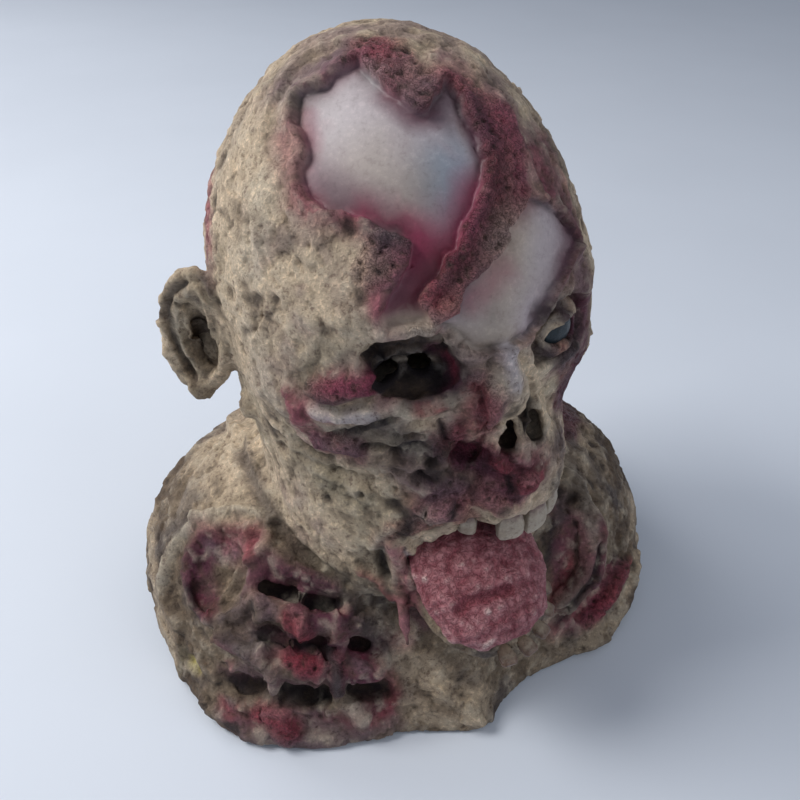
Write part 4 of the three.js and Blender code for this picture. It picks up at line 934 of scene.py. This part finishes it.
    ("chalk", [(509, 350), (512, 366), (516, 384)], 4.5, 0.75),
    ("smoke", [(492, 352), (489, 366)], 2.5, 0.5),
    # Near black in the nostrils and the gums' crevices is partly dark paint and partly painted
    # shade.
    ("night", [(506, 418), (508, 441)], 8, 0.97),
    ("night", [(528, 404), (535, 433)], 9, 0.97),
    ("night", [(500, 466), (512, 474), (526, 470)], 4, 0.6),
    ("night", [(462, 478), (474, 486), (470, 498)], 4, 0.6),
    ("night", [(446, 470), (440, 482)], 3.5, 0.5),
    ("night", [(512, 486), (516, 500)], 3, 0.6),
    ("beige", [(509, 450), (530, 446), (541, 432)], 3, 0.5),
    ("raw", [(500, 462), (516, 470), (540, 468)], 9, 0.7),
    ("red", [(526, 484), (536, 478)], 7, 0.7),
    ("pink", [(524, 480), (532, 476)], 3.5, 0.6),
    ("pink", [(490, 500), (498, 508)], 6, 0.55),
    ("plum", [(505, 490), (512, 498)], 4, 0.7),
    ("beige", [(426, 512), (436, 518)], 7, 0.7),
    ("pink", [(436, 514), (446, 508)], 5, 0.5),
    ("night", [(455, 506), (453, 516)], 3.5, 0.85),
    ("night", [(400, 508), (410, 520), (404, 534)], 6, 0.85),
    ("night", [(382, 548), (380, 564), (386, 576)], 5, 0.92),
    ("pink", [(392, 545), (399, 560), (410, 580)], 4, 0.8),
    ("bone", [(404, 545), (412, 560), (420, 574)], 2.4, 0.8),
    ("umber", [(424, 548), (432, 560)], 8, 0.6),
    ("cream", [(372, 546), (380, 534), (392, 527)], 3, 0.5),
    ("red", [(362, 572), (378, 582), (392, 596), (402, 604)], 4, 0.5),
    ("pink", [(400, 602), (404, 624), (408, 642)], 4, 0.7),
    ("plum", [(414, 612), (424, 624)], 9, 0.7),
    ("smoke", [(362, 492), (362.5, 492)], 2.6, 0.8),
    ("smoke", [(280, 446), (283, 449)], 4, 0.7),
    ("magenta", [(204, 178), (208, 210), (210, 250)], 12, 0.5),
    ("plum", [(206, 262), (212, 282)], 8, 0.5),
    ("grey", [(236, 130), (222, 165)], 14, 0.4),
    ("olive", [(330, 352), (312, 368), (300, 382)], 12, 0.5),
    ("cream", [(262, 190), (256, 230), (250, 262)], 16, 0.4),
    ("cream", [(250, 330), (262, 370), (270, 400)], 14, 0.35),
    ("smoke", [(262, 243), (276, 238), (290, 246)], 4, 0.45),
    ("smoke", [(284, 215), (300, 262)], 2.5, 0.45),
    # Smoke, umber and near black in the ear's groove and hollow are partly dark paint and partly
    # painted shade.
    ("smoke", [(185, 283), (172, 292), (167, 308), (171, 330), (181, 353), (197, 379)], 3, 0.7),
    ("umber", [(194, 322), (200, 340), (208, 358)], 8, 0.9),
    ("night", [(204, 322), (208, 345)], 4, 0.55),
    ("grey", [(188, 290), (196, 300)], 4, 0.5),
    ("smoke", [(205, 280), (213, 292)], 4, 0.6),
    ("cream", [(176, 300), (176, 330), (186, 356), (202, 376)], 3, 0.5),
    ("cream", [(164, 300), (161, 318)], 2.5, 0.4),
    ("smoke", [(240, 450), (262, 500), (296, 545), (340, 588)], 9, 0.7),
    ("olive", [(320, 560), (345, 590), (370, 620)], 14, 0.5),
    ("smoke", [(205, 430), (190, 456)], 8, 0.5),
    ("tan", [(150, 520), (156, 600), (175, 660)], 14, 0.5),
    ("grey", [(188, 490), (176, 520), (158, 550)], 8, 0.5),
    ("smoke", [(196, 498), (206, 496)], 5, 0.5),
    ("smoke", [(160, 545), (156, 552)], 6, 0.5),
    ("cream", [(200, 520), (182, 540), (170, 566), (166, 590)], 5, 0.55),
    ("cream", [(205, 518), (236, 511), (262, 514)], 4.5, 0.5),
    # Plum and the near-black line in the shoulder's groove are painted shade over raw flesh.
    ("plum", [(204, 545), (198, 570), (190, 590)], 8, 0.85),
    ("raw", [(196, 600), (204, 612), (214, 606)], 7, 0.85),
    ("night", [(188, 590), (192, 606)], 5, 0.75),
    ("mauve", [(212, 545), (224, 556), (236, 552)], 8, 0.75),
    ("pink", [(226, 552), (236, 546)], 4, 0.55),
    ("raw", [(222, 530), (240, 530), (252, 536)], 6, 0.7),
    ("red", [(246, 560), (252, 546)], 6, 0.5),
    ("umber", [(282, 540), (290, 556), (310, 570)], 12, 0.7),
    ("plum", [(272, 560), (300, 576), (330, 588)], 9, 0.75),
    ("smoke", [(330, 600), (352, 615), (372, 640)], 10, 0.7),
    # Near black in the gaps between the ribs is partly dark paint and partly painted shade.
    ("night", [(264, 587), (282, 592), (299, 596)], 5, 0.95),
    ("night", [(303, 599), (319, 603), (336, 606)], 5, 0.95),
    ("night", [(264, 639), (280, 643), (297, 645), (320, 648)], 4.5, 0.95),
    ("night", [(346, 643), (356, 644), (366, 646)], 4, 0.9),
    ("night", [(225, 683), (246, 687), (268, 692)], 6.5, 0.95),
    ("night", [(283, 691), (304, 694), (324, 696)], 8, 0.95),
    ("night", [(354, 688), (368, 688), (382, 687)], 7, 0.95),
    ("mauve", [(262, 602), (272, 614)], 7, 0.85),
    ("pink", [(292, 612), (302, 622)], 5, 0.6),
    ("red", [(286, 620), (304, 632)], 7, 0.7),
    ("plum", [(316, 620), (345, 618)], 8, 0.75),
    ("red", [(338, 614), (346, 610)], 4, 0.6),
    ("grey", [(244, 650), (262, 648)], 9, 0.7),
    ("smoke", [(230, 640), (250, 640), (262, 630)], 7, 0.6),
    ("mauve", [(240, 668), (262, 676)], 7, 0.6),
    ("pink", [(230, 663), (232, 666)], 4, 0.7),
    ("red", [(288, 658), (304, 666), (312, 664)], 7, 0.85),
    ("pink", [(317, 654), (318, 662)], 2.6, 0.85),
    ("smoke", [(331, 650), (336, 676), (338, 692)], 6, 0.85),
    ("mauve", [(352, 660), (364, 668)], 7, 0.7),
    ("magenta", [(352, 652), (362, 658)], 4, 0.5),
    ("smoke", [(384, 645), (392, 676)], 4, 0.6),
    ("red", [(390, 672), (396, 690), (388, 712)], 5, 0.5),
    ("mauve", [(225, 712), (232, 730), (262, 744), (330, 744), (392, 726)], 11, 0.55),
    ("grey", [(310, 724), (335, 728)], 9, 0.5),
    ("red", [(222, 700), (230, 716)], 6, 0.5),
    ("red", [(262, 712), (278, 720), (292, 730)], 8, 0.8),
    ("pink", [(266, 712), (282, 712)], 4, 0.4),
    ("beige", [(350, 706), (362, 718)], 7, 0.7),
    ("red", [(384, 712), (374, 722)], 4, 0.5),
    ("yellow", [(190, 662), (196, 668)], 6, 0.6),
    # Near black in the nostrils: partly dark paint, partly painted shade.
    ("night", [(503, 422), (507, 440)], 6, 0.92),
    ("night", [(524, 410), (531, 436)], 6, 0.92),
    ("red", [(476, 384), (470, 410), (460, 430)], 7, 0.6),
    ("smoke", [(400, 430), (420, 445), (440, 455)], 8, 0.5),
    ("smoke", [(538, 312), (556, 301), (574, 318), (574, 350), (553, 362), (537, 346)], 7, 0.75),
    ("night", [(508, 478), (512, 490)], 2.6, 0.75),
    ("red", [(496, 462), (506, 468)], 4, 0.6),
    ("pink", [(518, 458), (527, 462)], 3, 0.5),
    ("pink", [(487, 479), (493, 483)], 3, 0.5),
    ("olive", [(184, 650), (182, 672)], 5, 0.6),
    ("tan", [(410, 708), (440, 722), (480, 724)], 9, 0.6),
    ("tan", [(410, 660), (440, 690), (480, 700)], 18, 0.55),
    ("tan", [(540, 660), (580, 645), (616, 620)], 12, 0.4),
    ("umber", [(424, 640), (450, 664), (480, 676)], 7, 0.2),
    # Painted shade: umber and smoke on the right shoulder, away from the key light.
    ("umber", [(590, 415), (610, 440), (628, 470)], 12, 0.5),
    ("smoke", [(572, 440), (590, 462), (604, 486)], 9, 0.6),
    ("tan", [(640, 500), (640, 550), (620, 600)], 9, 0.6),
    ("pink", [(576, 516), (588, 536), (588, 560)], 6, 0.65),
    ("beige", [(592, 524), (596, 548)], 5, 0.5),
    ("red", [(570, 560), (560, 590), (550, 606)], 6, 0.6),
    # Near black in the groove above the collar bone is partly dark paint and partly painted shade.
    ("night", [(604, 548), (597, 580), (576, 606), (558, 622)], 6.5, 0.9),
    ("red", [(626, 564), (614, 590), (596, 612)], 6, 0.65),
    ("smoke", [(556, 480), (562, 500), (556, 520)], 10, 0.8),
    ("night", [(548, 520), (552, 540), (548, 560)], 6, 0.8),
    ("plum", [(560, 545), (556, 575)], 7, 0.7),
    ("smoke", [(480, 650), (510, 655), (532, 640)], 6, 0.4),
    ("umber", [(540, 650), (570, 660)], 9, 0.4),
]
for colour, pixels, width, strength in AIRBRUSH:
    airbrush(colour, pixels, width, strength)
# Umber and near black in the hollows are partly thinned dark paint and partly painted shade; cream
# on the ridges is partly dry brushing and partly painted highlight.
coat("umber", 0.5 * smooth_step(0.5, 0.72, hollows) * hide)
coat("night", 0.65 * smooth_step(0.68, 1.0, hollows) * hide)
coat("cream", 0.35 * smooth_step(0.42, 0.2, hollows) * hide * (1 - flesh) * (1 - socket_share))
print("airbrush strokes", len(AIRBRUSH))

# %% [markdown]
# The painted clay has more faces than a reusable part should carry. Decimate brings them down to
# MOST_TRIANGLES, taking away the ones that show least, which are mostly on the plain inside of the
# mask. The paint and the two masks ride along as point attributes, which the material reads later.

# %% Skin: finished mesh
INSIDE_COLOUR = (112, 98, 80)
MOST_TRIANGLES = 196000
all_paint = np.tile(linear(INSIDE_COLOUR), (len(moved), 1))
all_paint[mine] = paint
# The inside behind the socket, seen through the peep slits, is painted near black: painted shade.
behind_socket = np.linalg.norm(moved - place(*SOCKET_MIDDLE), axis=1) < SOCKET_REACH
all_paint[behind_socket & ~outside] = linear(COLOURS["night"])
keep_colour(skin, "paint", all_paint)
for name, share in (("bone", bone), ("flesh", flesh)):
    spread = np.zeros(len(moved), np.float32)
    spread[mine] = share
    keep_value(skin, name, spread)
add_modifier(skin, "TRIANGULATE")
add_modifier(skin, "DECIMATE", ratio=min(1.0, MOST_TRIANGLES / len(skin.data.polygons)))
skin.vertex_groups.clear()
skin.data.shade_smooth()
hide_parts("mask_skin")
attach(skin, "root")
print("skin triangles", len(skin.data.polygons),
      [a.name for a in skin.data.attributes if a.name in ("paint", "bone", "flesh")])

# %% [markdown]
# The tongue, the teeth and the eye are set-in pieces. Each is a copy of its solid, remeshed finely
# and smoothed, and the tongue then gets the pits and ridges of a dried tongue. A shared function
# does the remeshing, and each piece keeps its own place.


# %% Tongue, teeth and eye: shapes
def modelled(node, name, voxel, rounds):
    """A node's copy with fine even faces and rounded edges."""
    piece = copy_of(node, name)
    add_modifier(piece, "REMESH", mode="VOXEL", voxel_size=voxel * 1 * MM)
    add_modifier(piece, "SMOOTH", factor=0.5, iterations=rounds)
    piece.data.shade_smooth()
    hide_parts(node)
    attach(piece, "root")
    return piece


TONGUE_GROOVE = [(459, 609), (470, 602), (484, 597), (498, 593), (509, 590)]
tongue = modelled("tongue", "dried_tongue", 0.9, 8)
spots, out = points_of(tongue), normals_of(tongue)
tongue_tree = BVHTree.FromPolygons(
    [tuple(p) for p in spots.tolist()],
    [tuple(f.vertices) for f in tongue.data.polygons],
)


def tongue_place(u, v):
    hit = tongue_tree.ray_cast(camera.location, ray_through(u, v))
    return None if hit[0] is None else np.array(hit[0])


def near_tongue_line(pixels):
    """Each tongue point's distance in mm from a line of pixels on the tongue."""
    best = np.full(len(spots), 99.0)
    for (u0, v0), (u1, v1) in zip(pixels[:-1], pixels[1:]):
        for i in range(9):
            spot = tongue_place(u0 + (u1 - u0) * i / 8, v0 + (v1 - v0) * i / 8)
            if spot is not None:
                best = np.minimum(best, np.linalg.norm(spots - spot, axis=1) / MM)
    return best


groove = near_tongue_line(TONGUE_GROOVE)
lumps = cells(spots, 9 * MM, 131)
warts = cells(spots, 4.5 * MM, 137)
shift = -2.2 * smooth_step(5, 0, groove) + 1.6 * (0.55 - lumps) + 1.2 * (0.5 - warts)
shift += 1.2 * (clouds(spots, 14 * MM, 3, 139) - 0.5)
set_points(tongue, spots + out * (shift * MM)[:, None])
TONGUE_RED = (186, 126, 130)
TONGUE_PALE = (224, 196, 188)
TONGUE_DARK = (138, 66, 76)
# Darker in the low places and pits and paler on the crests: partly the tongue's own paint, partly
# painted shade and painted highlight.
high = smooth_step(-1.0, 1.0, shift)[:, None]
tint = linear(TONGUE_DARK) * (1 - high) + linear(TONGUE_RED) * high
crest = (0.8 * smooth_step(0.5, 1.4, shift + 1.2 * (clouds(spots, 7 * MM, 2, 141) - 0.5)))[:, None]
tint = tint * (1 - crest) + linear(TONGUE_PALE) * crest
pit = (0.6 * smooth_step(0.5, 0.8, warts))[:, None]
keep_colour(tongue, "paint", tint * (1 - pit) + linear(TONGUE_DARK) * pit)
print("tongue", len(tongue.data.polygons), "faces")

UPPER_TEETH = [node for node in sorted(nodes) if node.startswith("upper_")]
LOWER_TEETH = [node for node in sorted(nodes) if node.startswith("lower_tooth")]
teeth = {}
for node in UPPER_TEETH + LOWER_TEETH:
    tooth = modelled(node, node + "_enamel", 0.5, 5)
    spots, out = points_of(tooth), normals_of(tooth)
    ridge = 0.35 * (clouds(spots * (1, 1, 0.25), 3 * MM, 2, 151) - 0.5)
    set_points(tooth, spots + out * (ridge * MM)[:, None])
    low, tall = spots[:, 2].min(), np.ptp(spots[:, 2])
    keep_value(tooth, "height", (spots[:, 2] - low) / tall)
    teeth[node] = tooth
eye = modelled("left_eye", "clouded_eye", 0.6, 6)
print("teeth", len(teeth), "of about", len(teeth[UPPER_TEETH[0]].data.polygons), "faces")

# %% [markdown]
# All finishes share two effects, so these are node groups. `granules` is the fine relief between
# the mesh's own points: winding pits like those of coral, spots and flecks. The second group
# darkens the colour in those pits, partly thinned dark paint and partly painted shade, and lightens
# it on the crests, partly dry brushing and partly painted highlight.


# %% Shared finishes
def add_node(tree, kind, **values):
    """A node with its inputs set or linked, and other values set on the node itself."""
    made = tree.nodes.new(kind)
    for key, value in values.items():
        if key.startswith("to_"):
            socket = made.inputs[key[3:].replace("_", " ")]
            if isinstance(value, bpy.types.NodeSocket):
                tree.links.new(value, socket)
            else:
                socket.default_value = value
        else:
            setattr(made, key, value)
    return made


def blended(tree, share, first, second, blend_type="MIX"):
    """Two colours mixed by a share."""
    made = tree.nodes.new("ShaderNodeMix")
    made.data_type = "RGBA"
    made.blend_type = blend_type
    for index, value in ((0, share), (6, first), (7, second)):
        if isinstance(value, bpy.types.NodeSocket):
            tree.links.new(value, made.inputs[index])
        else:
            made.inputs[index].default_value = value
    return made.outputs[2]


def ranged(tree, value, low, high, to_low=0.0, to_high=1.0):
    made = add_node(tree, "ShaderNodeMapRange", interpolation_type="SMOOTHSTEP", to_Value=value)
    for name, number in (("From Min", low), ("From Max", high),
                         ("To Min", to_low), ("To Max", to_high)):
        made.inputs[name].default_value = number
    return made.outputs["Result"]


def summed(tree, first, second, operation="ADD"):
    made = tree.nodes.new("ShaderNodeMath")
    made.operation = operation
    for index, value in enumerate((first, second)):
        if isinstance(value, bpy.types.NodeSocket):
            tree.links.new(value, made.inputs[index])
        else:
            made.inputs[index].default_value = value
    return made.outputs[0]


def rgba(colour):
    return (*linear(colour), 1.0)


def new_group(name, inputs, outputs):
    tree = bpy.data.node_groups.new(name, "ShaderNodeTree")
    for label, kind, start in inputs:
        socket = tree.interface.new_socket(name=label, in_out="INPUT", socket_type=kind)
        if start is not None:
            socket.default_value = start
    for label, kind in outputs:
        tree.interface.new_socket(name=label, in_out="OUTPUT", socket_type=kind)
    return tree, tree.nodes.new("NodeGroupInput"), tree.nodes.new("NodeGroupOutput")


def scaled_place(tree, given):
    """The place on the piece, in metres times the group's Scale."""
    coordinates = add_node(tree, "ShaderNodeTexCoord")
    spread = add_node(tree, "ShaderNodeVectorMath", operation="SCALE")
    tree.links.new(coordinates.outputs["Object"], spread.inputs[0])
    tree.links.new(given.outputs["Scale"], spread.inputs["Scale"])
    return spread.outputs[0]


def noise(tree, place, scale, detail, roughness, distortion=0.0):
    made = add_node(tree, "ShaderNodeTexNoise", to_Vector=place, to_Scale=scale, to_Detail=detail,
                    to_Roughness=roughness, to_Distortion=distortion)
    return made.outputs["Fac"]


granules, given, result = new_group(
    "granules",
    [("Scale", "NodeSocketFloat", 1.0), ("Worms", "NodeSocketFloat", 0.0)],
    [("Pits", "NodeSocketFloat"), ("Crests", "NodeSocketFloat"), ("Height", "NodeSocketFloat")],
)
where = scaled_place(granules, given)
sandy = noise(granules, where, 380.0, 5.0, 0.72)
lumpy = noise(granules, where, 110.0, 4.0, 0.62)
worm = summed(granules, noise(granules, where, 430.0, 1.0, 0.5, 1.2), 0.5, "SUBTRACT")
worm = summed(granules, worm, 0.0, "ABSOLUTE")
trench = summed(granules, ranged(granules, worm, 0.07, 0.0), given.outputs["Worms"], "MULTIPLY")
mixed = summed(granules, sandy, summed(granules, lumpy, 0.5, "MULTIPLY"))
pits = summed(granules, ranged(granules, mixed, 0.73, 0.55), trench, "MAXIMUM")
granules.links.new(pits, result.inputs["Pits"])
granules.links.new(ranged(granules, mixed, 0.76, 0.95), result.inputs["Crests"])
height = summed(granules, summed(granules, sandy, 1.1, "MULTIPLY"), lumpy)
granules.links.new(summed(granules, height, summed(granules, trench, 0.5, "MULTIPLY"), "SUBTRACT"),
                   result.inputs["Height"])

wash_and_painted_light, given, result = new_group(
    "wash_and_painted_light",
    [("Color", "NodeSocketColor", None), ("Dark", "NodeSocketColor", (0.34, 0.27, 0.27, 1.0)),
     ("Light", "NodeSocketColor", (1.75, 1.7, 1.65, 1.0)), ("Pits", "NodeSocketFloat", 0.0),
     ("Crests", "NodeSocketFloat", 0.0), ("Amount", "NodeSocketFloat", 0.6)],
    [("Color", "NodeSocketColor")],
)
# Painted shade: the colour is multiplied by Dark in the pits. Painted highlight: it is multiplied
# by Light, above 1, on the crests. Both stand partly for thinned dark paint and dry brushing.
sunk = blended(wash_and_painted_light, 1.0, given.outputs["Color"], given.outputs["Dark"], "MULTIPLY")
raised = blended(wash_and_painted_light, 1.0, given.outputs["Color"], given.outputs["Light"], "MULTIPLY")
pit_wash_and_shade = summed(wash_and_painted_light, given.outputs["Pits"], given.outputs["Amount"], "MULTIPLY")
crest_brushing_and_highlight = summed(wash_and_painted_light, given.outputs["Crests"], given.outputs["Amount"], "MULTIPLY")
shaded = blended(wash_and_painted_light, pit_wash_and_shade, given.outputs["Color"], sunk)
wash_and_painted_light.links.new(blended(wash_and_painted_light, crest_brushing_and_highlight, shaded, raised), result.inputs["Color"])
print("groups", granules.name, wash_and_painted_light.name)


# %% [markdown]
# A finish is a Principled shader fed by those groups. Cast latex is dull and a little shiny where
# it is raw flesh, and the bare bone was painted with a satin coat.


# %% Finishes
def new_finish(name, roughness, specular):
    material = bpy.data.materials.new(name)
    material.use_nodes = True
    shader = material.node_tree.nodes["Principled BSDF"]
    shader.inputs["Roughness"].default_value = roughness
    shader.inputs["Specular IOR Level"].default_value = specular
    return material, material.node_tree, shader


def placed_group(tree, group, **values):
    made = tree.nodes.new("ShaderNodeGroup")
    made.node_tree = group
    for key, value in values.items():
        socket = made.inputs[key]
        if isinstance(value, bpy.types.NodeSocket):
            tree.links.new(value, socket)
        else:
            socket.default_value = value
    return made


def grain_wash_and_painted_light(tree, shader, colour, amount, scale, depth, strength, worms=0.0, **colours):
    """Pits and crests in the relief of a finish, and in its colour as painted shade in the pits and
    painted highlight on the crests. depth is in mm.
    """
    grain = placed_group(tree, granules, Scale=scale, Worms=worms)
    worn = placed_group(tree, wash_and_painted_light, Color=colour, Amount=amount,
                        Pits=grain.outputs["Pits"], Crests=grain.outputs["Crests"], **colours)
    tree.links.new(worn.outputs["Color"], shader.inputs["Base Color"])
    bump = add_node(tree, "ShaderNodeBump", to_Height=grain.outputs["Height"],
                    to_Distance=depth * MM, to_Strength=strength)
    tree.links.new(bump.outputs["Normal"], shader.inputs["Normal"])


painted_latex, tree, shader = new_finish("painted_latex", 0.7, 0.35)
paint_node = add_node(tree, "ShaderNodeAttribute", attribute_name="paint")
bone_node = add_node(tree, "ShaderNodeAttribute", attribute_name="bone")
flesh_node = add_node(tree, "ShaderNodeAttribute", attribute_name="flesh")
on_hide = summed(tree, 1.0, bone_node.outputs["Fac"], "SUBTRACT")
amount = summed(tree, summed(tree, on_hide, 0.52, "MULTIPLY"), 0.22)
gloss = summed(tree, 0.74, summed(tree, bone_node.outputs["Fac"], 0.26, "MULTIPLY"), "SUBTRACT")
gloss = summed(tree, gloss, summed(tree, flesh_node.outputs["Fac"], 0.2, "MULTIPLY"), "SUBTRACT")
tree.links.new(gloss, shader.inputs["Roughness"])
strength = summed(tree, summed(tree, on_hide, 0.85, "MULTIPLY"), 0.1)
worms = summed(tree, flesh_node.outputs["Fac"], 0.8, "MULTIPLY")
grain_wash_and_painted_light(tree, shader, paint_node.outputs["Color"], amount, 1.0, 1.9, strength, worms)
skin.data.materials.append(painted_latex)

tongue_finish, tree, shader = new_finish("tongue_finish", 0.5, 0.5)
paint_node = add_node(tree, "ShaderNodeAttribute", attribute_name="paint")
grain_wash_and_painted_light(tree, shader, paint_node.outputs["Color"], 0.65, 0.8, 1.8, 1.0, 0.8,
          Dark=(0.45, 0.18, 0.22, 1.0), Light=(1.3, 1.28, 1.26, 1.0))
tongue.data.materials.append(tongue_finish)


def enamel(name, top, middle, tip, roughness):
    """Enamel that goes from one colour at the top, over another, to a third at the bottom."""
    material, tree, shader = new_finish(name, roughness, 0.5)
    height = add_node(tree, "ShaderNodeAttribute", attribute_name="height").outputs["Fac"]
    place_node = add_node(tree, "ShaderNodeTexCoord")
    streaks = noise(tree, place_node.outputs["Object"], 260.0, 4.0, 0.6)
    level = summed(tree, height, summed(tree, streaks, 0.4, "MULTIPLY"))
    body = blended(tree, ranged(tree, level, 0.7, 1.1), rgba(middle), rgba(top))
    body = blended(tree, ranged(tree, level, 0.5, 0.2), body, rgba(tip))
    grain_wash_and_painted_light(tree, shader, body, 0.6, 1.7, 0.3, 0.6, Dark=(0.36, 0.24, 0.2, 1.0),
              Light=(1.3, 1.28, 1.22, 1.0))
    return material


upper_enamel = enamel("upper_enamel", (96, 62, 60), (158, 146, 130), (188, 178, 162), 0.4)
lower_enamel = enamel("lower_enamel", (150, 134, 114), (108, 84, 70), (66, 38, 38), 0.36)
for node, tooth in teeth.items():
    tooth.data.materials.append(upper_enamel if node in UPPER_TEETH else lower_enamel)

eye_finish, tree, shader = new_finish("clouded_eye_finish", 0.45, 0.3)
shader.inputs["Coat Weight"].default_value = 0.15
shader.inputs["Coat Roughness"].default_value = 0.2
grain_wash_and_painted_light(tree, shader, rgba((36, 46, 52)), 0.8, 1.0, 0.4, 0.5, 0.4)
eye.data.materials.append(eye_finish)
print("materials", len(bpy.data.materials))

# %% [markdown]
# The floor is plain and pale, as in a product photograph. A soft light stands above and to the
# left, a weaker one in front to the right and a larger one far behind, in a faintly blue room.

# %% Floor and lights
FLOOR_SIZE = 8
bpy.ops.object.select_all(action="DESELECT")
bpy.ops.mesh.primitive_plane_add(size=FLOOR_SIZE, location=(0, 0, 0))
floor = bpy.context.active_object
floor.name = "floor"
floor_finish, tree, shader = new_finish("floor_finish", 0.9, 0.1)
paper = add_node(tree, "ShaderNodeTexNoise", to_Scale=30.0, to_Detail=3.0)
shade = blended(tree, ranged(tree, paper.outputs["Fac"], 0.3, 0.7), rgba((216, 222, 232)),
                rgba((218, 224, 234)))
tree.links.new(shade, shader.inputs["Base Color"])
floor.data.materials.append(floor_finish)


def soft_light(name, place, target, size, power, colour):
    data = bpy.data.lights.new(name, "AREA")
    data.size = size
    data.energy = power
    data.color = colour
    light = bpy.data.objects.new(name, data)
    bpy.context.scene.collection.objects.link(light)
    light.location = place
    light.rotation_euler = (Vector(target) - Vector(place)).to_track_quat("-Z", "Y").to_euler()
    return light


MIDDLE_OF_MASK = (0, 0, 0.2)
soft_light("key_light", (-1.1, 0.4, 1.4), MIDDLE_OF_MASK, 0.7, 20, (1, 0.99, 0.97))
soft_light("fill_light", (0.9, -1.2, 0.9), MIDDLE_OF_MASK, 1.2, 6, (0.93, 0.96, 1))
soft_light("back_light", (-1.0, 2.2, 1.6), (-0.4, 0.8, 0), 1.6, 25, (1, 1, 1))
world = bpy.data.worlds.new("pale_room")
bpy.context.scene.world = world
world.use_nodes = True
world.node_tree.nodes["Background"].inputs["Color"].default_value = rgba((214, 222, 236))
world.node_tree.nodes["Background"].inputs["Strength"].default_value = 0.36
bpy.context.scene.view_settings.view_transform = "Standard"
